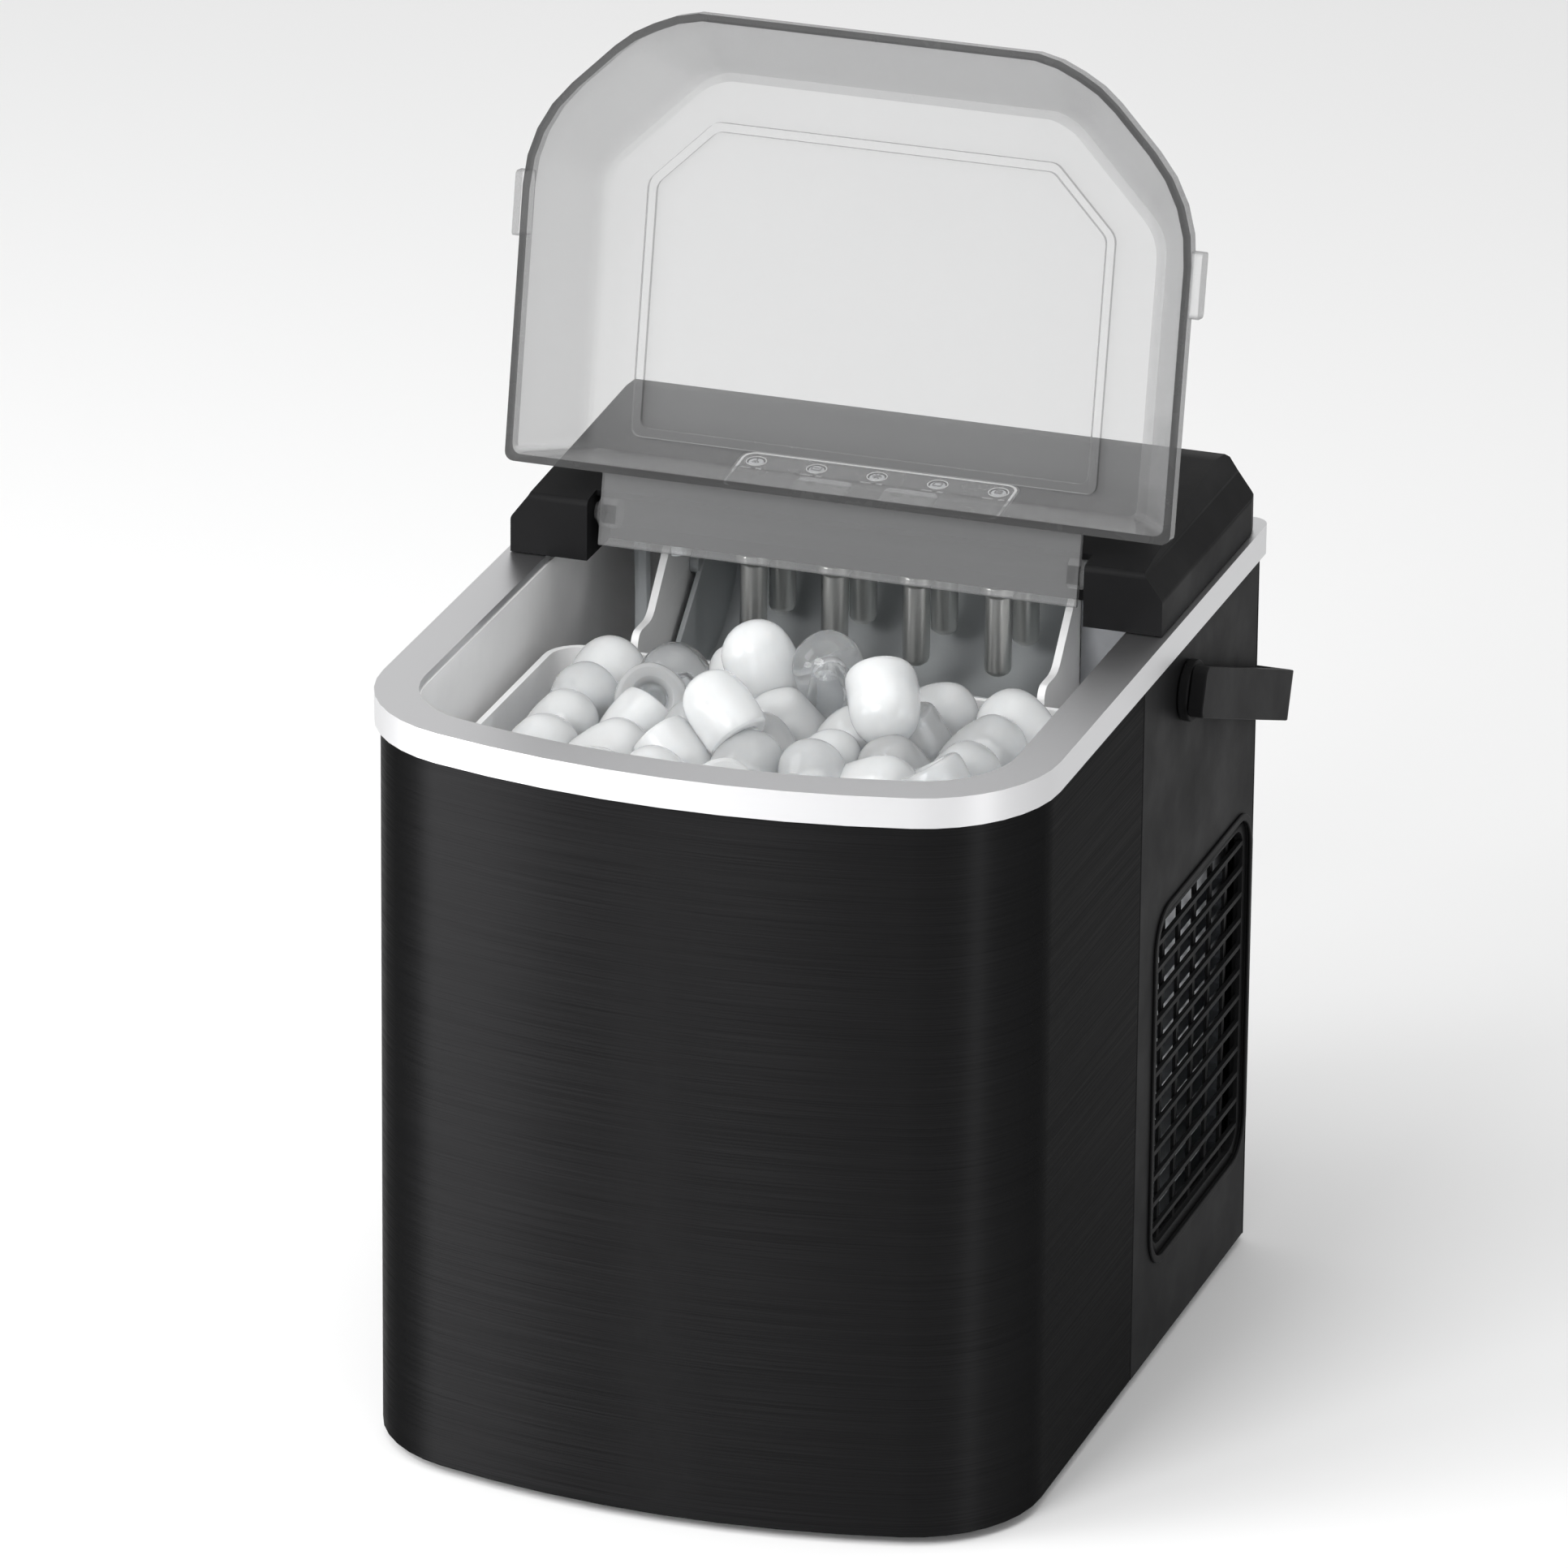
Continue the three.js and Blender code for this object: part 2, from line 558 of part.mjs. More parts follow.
function lidShell(inset, bottom, top) {
  const front = LID_REACH - 5 - inset;
  const chamfer = LID_REACH + LID_HALF - 44 - inset * 1.41;
  const rear = LID_REAR + inset;
  return loft([
    { z: bottom, points: lidOutline(LID_HALF - inset, front, chamfer, rear, 5, 48) },
    { z: -LID_SKIRT + 5, points: lidOutline(LID_HALF - inset, front, chamfer, rear, 5, 48) },
    { z: top - 3, points: lidOutline(LID_HALF - 14 - inset, front - 18, chamfer - 27, rear, 4, 22) },
    { z: top, points: lidOutline(LID_HALF - 17 - inset, front - 21, chamfer - 33, rear, 4, 18) },
  ]);
}

function lid() {
  const outer = lidShell(0, -LID_SKIRT, LID_TOP);
  const inner = lidShell(LID_WALL, -LID_SKIRT - 5, LID_TOP - LID_WALL);
  const half = LID_HALF - 33;
  const front = LID_REACH - 41;
  const corner = LID_REACH + LID_HALF - 95;
  const frameOuter = new THREE.Shape(lidOutline(half, front, corner, LID_REAR + 8, 0, 6));
  const frameInner = new THREE.Shape(lidOutline(half - 3, front - 3, corner - 4, LID_REAR + 11, 0, 5));
  const ridge = prismZ(withHoles(frameOuter, frameInner), LID_TOP - LID_WALL - 2, LID_TOP - 1);
  const tongue = prismX(roundedShape([
    [TONGUE_BACK, TONGUE_TOP - LID_WALL, 1], [TONGUE_BACK, TONGUE_TOP, 1],
    [-LID_REAR - 1, TONGUE_TOP, 0], [-LID_REAR - 1, TONGUE_TOP - LID_WALL, 0],
  ]), -TONGUE_HALF, TONGUE_HALF, 2);
  const pieces = [cut(outer, inner), ridge, tongue];
  for (const side of [-1, 1]) {
    const boss = TONGUE_HALF + 1.5;
    pieces.push(rodX(5, side * (boss - 6), side * boss, 0, 0));
    pieces.push(rodX(HINGE_PIN_RADIUS, side * (boss - 1), side * (SHOULDER_INNER + 5), 0, 0));
    const tab = roundedRect(60 - LID_REACH, 81 - LID_REACH, -LID_SKIRT + 1, -LID_SKIRT + 8, 1.5);
    pieces.push(prismX(tab, side * (LID_HALF - 1.5), side * (LID_HALF + 3), 2));
  }
  return join(...pieces);
}

// ---------------------------------------------------------------- ice compartment
const BOX_TOP = RIM_TOP - RIM_PLATE - GAP;

function innerLiner() {
  const cavity = LINER_INSET + LINER_WALL;
  const outer = prismZ(planShape(LINER_INSET), BIN_FLOOR - LINER_WALL, BOX_TOP);
  const underShelf = block(
    -HALF_WIDTH, HALF_WIDTH, BIN_REAR + LINER_WALL, REAR_Y,
    BIN_FLOOR - LINER_WALL - 1, SHELF_FLOOR - LINER_WALL,
  );
  const bin = prismZ(planShape(cavity, BIN_REAR, 10), BIN_FLOOR, BOX_TOP + 1);
  const shelf = prismZ(planShape(cavity), SHELF_FLOOR, BOX_TOP + 1);
  const shell = cut(outer, underShelf, bin, shelf);
  const ribs = [-1, 1].map((side) => {
    const x = side * RIB_X;
    return block(x - 2, x + 2, -90, 0, BIN_FLOOR - 1, BASKET_BOTTOM - GAP);
  });
  return join(shell, ...ribs);
}

function iceBasket() {
  const inner = BASKET_INSET + BASKET_WALL;
  const outer = prismZ(planShape(BASKET_INSET, BASKET_REAR, 12), BASKET_BOTTOM, BASKET_TOP);
  const hollow = prismZ(
    planShape(inner, BASKET_REAR - BASKET_WALL, 12 - BASKET_WALL),
    BASKET_BOTTOM + BASKET_WALL, BASKET_TOP + 1,
  );
  const slots = [];
  for (let i = -2; i <= 2; i += 1) {
    slots.push(block(i * 26 - 3, i * 26 + 3, -80, 5, BASKET_BOTTOM - 1, BASKET_BOTTOM + 3));
    const y = i * 16 - 33;
    slots.push(block(-HALF_WIDTH, HALF_WIDTH, y, y + 5, BASKET_BOTTOM + 20, BASKET_BOTTOM + 60));
  }
  return cut(outer, hollow, ...slots);
}

function sideGuide(side) {
  const plate = roundedShape([
    [30, SHELF_FLOOR + GAP, 0], [118, SHELF_FLOOR + GAP, 0], [118, BOX_TOP - 1, 6],
    [62, BOX_TOP - 1, 8], [44, TRAY_Z - 6, 8], [30, TRAY_Z - 6, 4],
  ]);
  const shaft = circle(TRAY_Y, TRAY_Z, TRAY_SHAFT + GAP);
  const slot = roundedRect(
    PUSHER.y - 0.5, PUSHER.y + PUSHER.thick + PUSHER.travel + 0.5, PUSHER.z0 + 4.4, PUSHER.z0 + 8, 0.8,
  );
  return prismX(withHoles(plate, shaft, slot), side * GUIDE_INNER, side * (GUIDE_INNER + GUIDE_WALL), 4);
}

function waterTray() {
  const inner = TRAY_RADIUS - TRAY_WALL;
  const trough = new THREE.Shape();
  trough.absarc(0, 0, TRAY_RADIUS, Math.PI, 2 * Math.PI, false);
  trough.absarc(0, 0, inner, 2 * Math.PI, Math.PI, true);
  const cheek = new THREE.Shape().absarc(0, 0, TRAY_RADIUS, Math.PI, 2 * Math.PI, false);
  const pieces = [prismX(trough, -TRAY_HALF, TRAY_HALF, 9)];
  for (const side of [-1, 1]) {
    pieces.push(prismX(cheek, side * (TRAY_HALF - TRAY_WALL), side * TRAY_HALF, 9));
    pieces.push(rodX(TRAY_SHAFT, side * (TRAY_HALF - 1), side * (GUIDE_INNER + GUIDE_WALL - GAP), 0, 0));
  }
  return join(...pieces);
}

function coldFinger() {
  const tip = -FINGER_LENGTH;
  const points = [[0, tip]];
  for (let i = 1; i <= 3; i += 1) {
    const angle = (i / 3) * (Math.PI / 2);
    points.push([FINGER_RADIUS * Math.sin(angle), tip + 3 * (1 - Math.cos(angle))]);
  }
  points.push([FINGER_RADIUS, -4], [FINGER_RADIUS + 1.5, -3], [FINGER_RADIUS + 1.5, -GAP], [0, -GAP]);
  return lathe(points, 12);
}

function icePusher() {
  const { y, z0, z1, thick } = PUSHER;
  const reach = GUIDE_INNER - 3;
  const bar = block(-reach, reach, y, y + thick, z0 + 6, z1);
  const teeth = [];
  const pitch = FINGER_PITCH / 2;
  const last = Math.floor((reach - 4) / pitch);
  for (let i = -last; i <= last; i += 1) {
    teeth.push(block(i * pitch - 4, i * pitch + 4, y, y + thick, z0, z0 + 7));
  }
  const end = GUIDE_INNER + GUIDE_WALL;
  const tabs = [-1, 1].map((side) => {
    const xs = [side * (reach - 1), side * end].sort((a, b) => a - b);
    return block(...xs, y, y + thick, z0 + 5, z0 + 7.5);
  });
  return join(bar, ...teeth, ...tabs);
}

function waterPump() {
  const body = block(PUMP_X - 11, PUMP_X + 10, 64, 98, SHELF_FLOOR + GAP, SHELF_FLOOR + 22);
  const drum = rodZ(9, SHELF_FLOOR + 20, SHELF_FLOOR + 34, PUMP_X, PUMP_Y);
  return join(body, drum);
}

function addIceWorks(machine) {
  addPart(machine, 'inner_liner', innerLiner(), whitePlastic());
  addPart(machine, 'ice_basket', iceBasket(), whitePlastic());
  addPart(machine, 'side_guide_left', sideGuide(-1), whitePlastic());
  addPart(machine, 'side_guide_right', sideGuide(1), whitePlastic());
  const evaporator = prismX(roundedRect(BLOCK.y0, BLOCK.y1, BLOCK.z0, BLOCK.z1, 3), -BLOCK.x, BLOCK.x, 2);
  addPart(machine, 'evaporator_block', evaporator, nickel());
  FINGER_ROWS.forEach((y, row) => {
    for (let column = 0; column < 4; column += 1) {
      const finger = addPart(machine, `cold_finger_${row * 4 + column + 1}`, coldFinger(), nickel());
      finger.position.set((column - 1.5) * FINGER_PITCH, y, BLOCK.z0);
    }
  });
  const tray = addPart(machine, 'water_tray', waterTray(), greyPlastic());
  tray.position.set(0, TRAY_Y, TRAY_Z);
  tray.rotation.x = TRAY_TIP;
  const motorX = GUIDE_INNER + GUIDE_WALL + GAP;
  const can = block(motorX, motorX + 22, TRAY_Y - 17, TRAY_Y + 17, TRAY_Z - 19, BOX_TOP - 2);
  addPart(machine, 'tray_motor', join(can, rodX(9, motorX + 21, motorX + 25, TRAY_Y, TRAY_Z)), motorSteel());
  addPart(machine, 'ice_pusher', icePusher(), greyPlastic());
  addPart(machine, 'water_pump', waterPump(), blackSteel());
  const hoseTop = RIM_TOP + 5;
  const spout = 2.4 - TRAY_HALF;
  addPart(machine, 'pump_hose', pipe([
    [PUMP_X, PUMP_Y, SHELF_FLOOR + 34 + GAP], [PUMP_X, PUMP_Y, SHELF_FLOOR + 65],
    [PUMP_X, PUMP_Y - 1, hoseTop - 8], [PUMP_X + 3, PUMP_Y - 6, hoseTop],
    [spout - 7.4, 62, hoseTop], [spout - 1.4, 58, hoseTop - 3], [spout, 57, hoseTop - 11],
  ], 2.8), finish(0xd9dcde, 0.4, 0));
}

// ---------------------------------------------------------------- machine space
function compressor() {
  const { x, y, radius, base, top } = COMPRESSOR;
  const shell = lathe([
    [0, base + 3], [28, base + 3], [42, base + 9], [radius, base + 20], [radius, top - 22],
    [radius - 7, top - 8], [20, top], [0, top],
  ], 32).translate(x, y, 0);
  const plate = prismZ(withHoles(
    roundedShape([[-48, -32, 8], [48, -32, 8], [0, 54, 8]]),
    ...grommetPlaces.map(([gx, gy]) => circle(gx, gy, 3.5)),
  ), base, base + 2.5).translate(x, y, 0);
  const stem = rodZ(16, base + 2, base + 6, x, y);
  return join(shell, plate, stem);
}
const grommetPlaces = [[-36, -25], [36, -25], [0, 40]];

function grommet() {
  const { base } = COMPRESSOR;
  return lathe([
    [0, 3 + GAP], [6.5, 3 + GAP], [6.5, base - GAP], [3.2, base - GAP],
    [3.2, base + 2.5 + GAP], [5.5, base + 2.5 + GAP], [5.5, base + 4.6], [0, base + 4.6],
  ], 20);
}

function condenser() {
  const { x0, x1, y0, y1, z0, z1 } = CONDENSER;
  const slots = [];
  for (let i = 0; i < 11; i += 1) {
    const z = z0 + 5 + i * 9.4;
    slots.push(roundedRect(y0 + 5, y1 - 5, z, z + 5.6, 0));
  }
  return prismX(withHoles(roundedRect(y0, y1, z0, z1, 0), ...slots), x0, x1);
}

function fanShroud() {
  const size = FAN.radius + 4;
  const frame = roundedRect(FAN.y - size, FAN.y + size, FAN.z - size, FAN.z + size, 6);
  return prismX(withHoles(frame, circle(FAN.y, FAN.z, FAN.radius + 1.5)), FAN.x0 + 4, CONDENSER.x0 - GAP, 12);
}

function fanBlade() {
  const hub = rodX(12, FAN.x0, FAN.x1, 0, 0);
  const blades = [];
  for (let i = 0; i < 5; i += 1) {
    const vane = new THREE.BoxGeometry(1.8, 24, FAN.radius - 10).rotateZ(0.38).translate(
      (FAN.x0 + FAN.x1) / 2, 0, FAN.radius / 2 + 4.5,
    );
    blades.push(vane.rotateX((i * 2 * Math.PI) / 5));
  }
  const trimmed = common(join(hub, ...blades), rodX(FAN.radius, FAN.x0 - 6, FAN.x1 + 6, 0, 0, 40));
  return cut(trimmed, rodX(2.5 + GAP, FAN.x0 - 1, FAN.x0 + 8, 0, 0, 12));
}

function fanMotor() {
  const { radius, x0, x1 } = FAN_MOTOR;
  const can = rodX(radius, x0, x1, FAN.y, FAN.z, 28);
  const shaft = rodX(2.5, x1 - 1, FAN.x0 + 7, FAN.y, FAN.z, 12);
  const leg = block(x0 + 12, x0 + 16, FAN.y - 12, FAN.y + 12, 3 + GAP, FAN.z);
  const foot = block(x0 + 2, x0 + 26, FAN.y - 12, FAN.y + 12, 3 + GAP, 6);
  return join(can, shaft, leg, foot);
}

function powerBoard() {
  const left = 9 - CASE_HALF;
  const board = block(left, left + 56, 24, 68, 15, 16.6);
  const parts = [
    block(left + 5, left + 25, 30, 46, 16, 40),
    rodZ(6, 16, 38, left + 36, 36), rodZ(4, 16, 30, left + 48, 34),
    block(left + 6, left + 18, 52, 62, 16, 28),
  ];
  for (const x of [left + 3, left + 53]) {
    for (const y of [27, 65]) parts.push(rodZ(2.5, 3 + GAP, 16, x, y, 12));
  }
  return join(board, ...parts);
}

function addMachineSpace(machine) {
  const { x, y } = COMPRESSOR;
  addPart(machine, 'compressor', compressor(), blackSteel());
  grommetPlaces.forEach(([gx, gy], i) => {
    addPart(machine, `compressor_grommet_${i + 1}`, grommet(), rubber()).position.set(x + gx, y + gy, 0);
  });
  addPart(machine, 'condenser', condenser(), finish(0x9ea2a6, 0.4, 1));
  addPart(machine, 'fan_shroud', fanShroud(), blackPlastic());
  addPart(machine, 'fan_blade', fanBlade(), blackPlastic()).position.set(0, FAN.y, FAN.z);
  addPart(machine, 'fan_motor', fanMotor(), motorSteel());
  addPart(machine, 'filter_drier', lathe([
    [0, 26], [3, 26], [3, 32], [9, 38], [9, 82], [3, 88], [3, 94], [0, 94],
  ], 20).translate(-60, 92, 0), copper());
  addPart(machine, 'discharge_line', pipe([
    [x + COMPRESSOR.radius + GAP, y, 60], [x + COMPRESSOR.radius + 14, y, 60], [CONDENSER.x0 - 34.5, -24, 60],
    [CONDENSER.x0 - 6.5, -6, 60], [CONDENSER.x0 + 7.5, 10, 60], [CONDENSER.x0 + 8.5, CONDENSER.y0 - GAP, 60],
  ], PIPE_RADIUS), copper());
  const behind = (REAR_Y - LINER_INSET + REAR_Y - RIM_STEP - SKIN) / 2;
  const overRim = RIM_TOP + PIPE_RADIUS + 2;
  addPart(machine, 'suction_line', pipe([
    [SUCTION_X, 97, BLOCK.z1 + GAP], [SUCTION_X, 97, BLOCK.z1 + 3], [SUCTION_X, 98.5, BLOCK.z1 + 6.5],
    [SUCTION_X, 107, BLOCK.z1 + 9],
    [SUCTION_X, behind - 6, overRim + 4], [SUCTION_X, behind - 0.5, overRim - 6],
    [SUCTION_X, behind - 0.5, BODY_HEIGHT - 40],
    [SUCTION_X, behind - 0.5, BIN_FLOOR + 8], [SUCTION_X - 3, behind - 6, 66],
    [6, 100, 56], [-18, 60, 56], [x, y + COMPRESSOR.radius + 14, 56], [x, y + COMPRESSOR.radius + GAP, 56],
  ], PIPE_RADIUS, 30), copper());
  addPart(machine, 'power_board', powerBoard(), boardGreen());
}

// ---------------------------------------------------------------- handle, inlet and drain
function carryHandle() {
  const outer = HANDLE_INNER + HANDLE_THICK;
  const inner = HANDLE_REACH - HANDLE_GRIP;
  const bail = roundedShape([
    [-outer, -9, 0], [-HANDLE_INNER, -9, 0], [-HANDLE_INNER, inner, 5], [HANDLE_INNER, inner, 5],
    [HANDLE_INNER, -9, 0], [outer, -9, 0], [outer, HANDLE_REACH, 9], [-outer, HANDLE_REACH, 9],
  ]);
  const half = HANDLE_WIDTH / 2;
  const profile = prismX(roundedRect(-9, HANDLE_REACH, -half, half, 3), -outer, outer, 3);
  const bores = [-1, 1].map((side) => rodX(
    HANDLE_PIN_RADIUS + GAP, side * (HANDLE_INNER - 1), side * (HANDLE_INNER + 3.8), 0, 0,
  ));
  return cut(common(prismZ(bail, -half, half, 4), profile), ...bores);
}

function handlePivot(side) {
  const flange = rodX(10, side * (CASE_HALF + GAP), side * (HANDLE_INNER - GAP), PIVOT_Y, PIVOT_Z, 32);
  const pin = rodX(
    HANDLE_PIN_RADIUS, side * (HANDLE_INNER - 1), side * (HANDLE_INNER + 3.4), PIVOT_Y, PIVOT_Z,
  );
  const screw = rodX(HANDLE_PIN_RADIUS - 1, side * (CASE_HALF - 6), side * (CASE_HALF + 1), PIVOT_Y, PIVOT_Z);
  return join(flange, pin, screw);
}

// A plug turned about Y: [radius, distance out of the rear face].
function turnedOnRear(points, x, z) {
  return lathe(points, 24).rotateX(-Math.PI / 2).translate(x, REAR_Y - RIM_STEP, z);
}

function build() {
  const machine = new THREE.Group();
  addPart(machine, 'base_pan', basePan(), blackSteel());
  let count = 0;
  for (const x of [-FEET_X, FEET_X]) {
    for (const y of FEET_Y) {
      count += 1;
      addPart(machine, `foot_${count}`, foot(), rubber()).position.set(x, y, 0);
    }
  }
  addPart(machine, 'front_wrap', frontWrap(), brushedBlack());
  addPart(machine, 'side_panel_left', sidePanel(-1), blackPlastic());
  addPart(machine, 'side_panel_right', sidePanel(1), blackPlastic());
  addPart(machine, 'vent_grille_left', ventGrille(-1), blackPlastic());
  addPart(machine, 'vent_grille_right', ventGrille(1), blackPlastic());
  addPart(machine, 'rear_panel', rearPanel(), blackPlastic());
  addPart(machine, 'rim_trim', rimTrim(), brushedSteel());
  addPart(machine, 'top_cover', topCover(), blackPlastic());
  addControls(machine);
  const lidMesh = addPart(machine, 'lid', lid(), smokeClear());
  lidMesh.position.set(0, HINGE_Y, HINGE_Z);
  lidMesh.rotation.x = -LID_OPEN;
  addIceWorks(machine);
  addMachineSpace(machine);
  addPart(machine, 'handle_pivot_left', handlePivot(-1), blackPlastic());
  addPart(machine, 'handle_pivot_right', handlePivot(1), blackPlastic());
  const handle = addPart(machine, 'carry_handle', carryHandle(), blackPlastic());
  handle.position.set(0, PIVOT_Y, PIVOT_Z);
  handle.rotation.x = -HANDLE_DROOP;
  const { radius } = INLET;
  addPart(machine, 'power_inlet', turnedOnRear([
    [3.5, -6], [radius, -6], [radius, GAP], [radius + 4, GAP], [radius + 3, 3], [radius - 1, 4.5],
    [3.5, 4.5], [3.5, -6],
  ], INLET.x, INLET.z), rubber());
  const plug = DRAIN.radius - 3;
  addPart(machine, 'drain_cap', turnedOnRear([
    [0, -8], [plug, -8], [plug, GAP], [DRAIN.radius, GAP], [DRAIN.radius, 3], [DRAIN.radius - 1, 4], [0, 4],
  ], DRAIN.x, DRAIN.z), rubber());
  return machine;
}

// The origin is at the middle of the footprint's box, on the surface that the feet stand on.
const iceMaker = new THREE.Group();
const machine = build();
iceMaker.add(machine);
const extent = new THREE.Box3().setFromObject(machine, true);
machine.position.set(
  -(extent.min.x + extent.max.x) / 2, -(extent.min.y + extent.max.y) / 2, FOOT_HEIGHT,
);

export default iceMaker;
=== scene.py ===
"""Looks of a countertop ice maker: procedural finishes, markings, trims and ice around its CAD frame."""
import json
import math
import random

import bmesh
import bpy
from mathutils import Euler, Matrix, Vector, geometry, noise


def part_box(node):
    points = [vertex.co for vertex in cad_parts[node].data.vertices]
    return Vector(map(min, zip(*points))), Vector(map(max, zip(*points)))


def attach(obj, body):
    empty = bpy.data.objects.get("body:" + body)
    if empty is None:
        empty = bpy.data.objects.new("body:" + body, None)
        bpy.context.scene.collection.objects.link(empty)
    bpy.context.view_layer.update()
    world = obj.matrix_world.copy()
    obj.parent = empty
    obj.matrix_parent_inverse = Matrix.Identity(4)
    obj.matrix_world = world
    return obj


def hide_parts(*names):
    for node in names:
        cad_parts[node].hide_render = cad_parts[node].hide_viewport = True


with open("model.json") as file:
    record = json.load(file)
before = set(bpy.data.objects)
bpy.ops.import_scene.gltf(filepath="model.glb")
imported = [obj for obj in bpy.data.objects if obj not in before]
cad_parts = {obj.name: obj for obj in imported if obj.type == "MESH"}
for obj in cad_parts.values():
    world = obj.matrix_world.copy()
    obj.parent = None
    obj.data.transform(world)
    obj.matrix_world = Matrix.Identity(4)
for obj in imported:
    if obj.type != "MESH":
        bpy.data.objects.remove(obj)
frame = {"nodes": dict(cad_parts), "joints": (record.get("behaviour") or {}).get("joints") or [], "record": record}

bl_info = {
    "name": "Countertop Ice Maker",
    "version": (1, 0, 0),
    "blender": (4, 5, 0),
    "location": "View3D > Sidebar > Ice Maker",
    "description": "Builds the visible surfaces of a countertop ice maker around its frame",
    "category": "Add Mesh",
}

MM = 0.001
SMOOTH_ANGLE = math.radians(31)  # bends sharper than this are edges
FLAT_ANGLE = math.radians(0.6)  # faces that differ by less are one flat face
WELD = 2e-6  # corners closer than this are one

# How far edges are rounded, from thin film to the heavy trims.
FILM_EDGE = 0.2 * MM
GROMMET_EDGE = 0.3 * MM
FINE_EDGE = 0.4 * MM
WALL_EDGE = 0.5 * MM
KEY_EDGE = 0.6 * MM
COVER_EDGE = 0.9 * MM
HANDLE_EDGE = 1.1 * MM
RIM_EDGE = 1.6 * MM


# ---------------------------------------------------------------- settings
class IceMakerSizes(bpy.types.PropertyGroup):
    """Sizes of the details that the frame doesn't hold."""

    edge: bpy.props.FloatProperty(
        name="Edge radius", description="Rounding of moulded edges", default=0.0006, unit="LENGTH")
    line: bpy.props.FloatProperty(
        name="Marking width", description="Width of the printed outline", default=0.0008, unit="LENGTH")
    ice_radius: bpy.props.FloatProperty(
        name="Ice radius", description="Radius of one piece of ice", default=0.0120, unit="LENGTH")
    ice_length: bpy.props.FloatProperty(
        name="Ice length", description="Length of one piece of ice", default=0.027, unit="LENGTH")
    heap: bpy.props.FloatProperty(
        name="Heap height", description="Top of the heap, above the basket's edge", default=0.017,
        unit="LENGTH")


class IceMakerColours(bpy.types.PropertyGroup):
    """Colours that a user would change."""

    body: bpy.props.FloatVectorProperty(
        name="Body", description="Brushed lacquered front", default=(0.017, 0.017, 0.0175), subtype="COLOR")
    plastic: bpy.props.FloatVectorProperty(
        name="Plastic", description="Black mouldings", default=(0.008, 0.008, 0.0084), subtype="COLOR")
    rim: bpy.props.FloatVectorProperty(
        name="Rim", description="Brushed rim", default=(0.72, 0.72, 0.73), subtype="COLOR")
    smoke: bpy.props.FloatVectorProperty(
        name="Smoke", description="Tint of the clear lid", default=(0.37, 0.372, 0.375), subtype="COLOR")
    liner: bpy.props.FloatVectorProperty(
        name="Liner", description="White inner mouldings", default=(0.90, 0.90, 0.90), subtype="COLOR")
    marking: bpy.props.FloatVectorProperty(
        name="Marking", description="Printed panel markings", default=(0.90, 0.90, 0.90), subtype="COLOR")


def sizes():
    return bpy.context.scene.ice_maker_sizes


def colours():
    return bpy.context.scene.ice_maker_colours


# ---------------------------------------------------------------- node helpers
def node(tree, kind, **values):
    """A shader node; values go to its input sockets of that name, or else to its properties."""
    made = tree.nodes.new(kind)
    for name, value in values.items():
        label = name.replace("_", " ").title()
        if label in made.inputs:
            feed(tree, made.inputs[label], value)
        else:
            setattr(made, name, value)
    return made


def plug(tree, source, target):
    tree.links.new(source, target)


def feed(tree, socket, value):
    """Links a socket to another one, or sets it to a plain value."""
    if isinstance(value, bpy.types.NodeSocket):
        plug(tree, value, socket)
    else:
        socket.default_value = value


def math_node(tree, operation, first, second=0.0):
    made = tree.nodes.new("ShaderNodeMath")
    made.operation = operation
    feed(tree, made.inputs[0], first)
    feed(tree, made.inputs[1], second)
    return made.outputs[0]


def mix_colour(tree, factor, first, second, blend="MIX"):
    made = tree.nodes.new("ShaderNodeMix")
    made.data_type = "RGBA"
    made.blend_type = blend
    feed(tree, made.inputs[0], factor)
    feed(tree, made.inputs[6], first)
    feed(tree, made.inputs[7], second)
    return made.outputs[2]


def mix_value(tree, factor, first, second):
    made = tree.nodes.new("ShaderNodeMix")
    feed(tree, made.inputs[0], factor)
    feed(tree, made.inputs[2], first)
    feed(tree, made.inputs[3], second)
    return made.outputs[0]


def ranged(tree, value, low, high, start=0.3, end=0.7):
    """A value between start and end spread over low to high; noise seldom leaves 0.3 to 0.7."""
    made = node(tree, "ShaderNodeMapRange", value=value)
    made.inputs["From Min"].default_value = start
    made.inputs["From Max"].default_value = end
    made.inputs["To Min"].default_value = low
    made.inputs["To Max"].default_value = high
    return made.outputs[0]


def stretch(tree, vector, scale):
    made = node(tree, "ShaderNodeMapping", vector=vector)
    made.inputs["Scale"].default_value = scale
    return made.outputs[0]


def new_group(name, inputs, outputs):
    """A shader group with float inputs {name: default}, float outputs and the piece's own coordinates."""
    tree = bpy.data.node_groups.new(name, "ShaderNodeTree")
    for label, default in inputs.items():
        socket = tree.interface.new_socket(label, in_out="INPUT", socket_type="NodeSocketFloat")
        socket.default_value = default
    for label in outputs:
        tree.interface.new_socket(label, in_out="OUTPUT", socket_type="NodeSocketFloat")
    start = tree.nodes.new("NodeGroupInput")
    end = tree.nodes.new("NodeGroupOutput")
    where = tree.nodes.new("ShaderNodeTexCoord").outputs["Object"]
    return tree, start, end, where


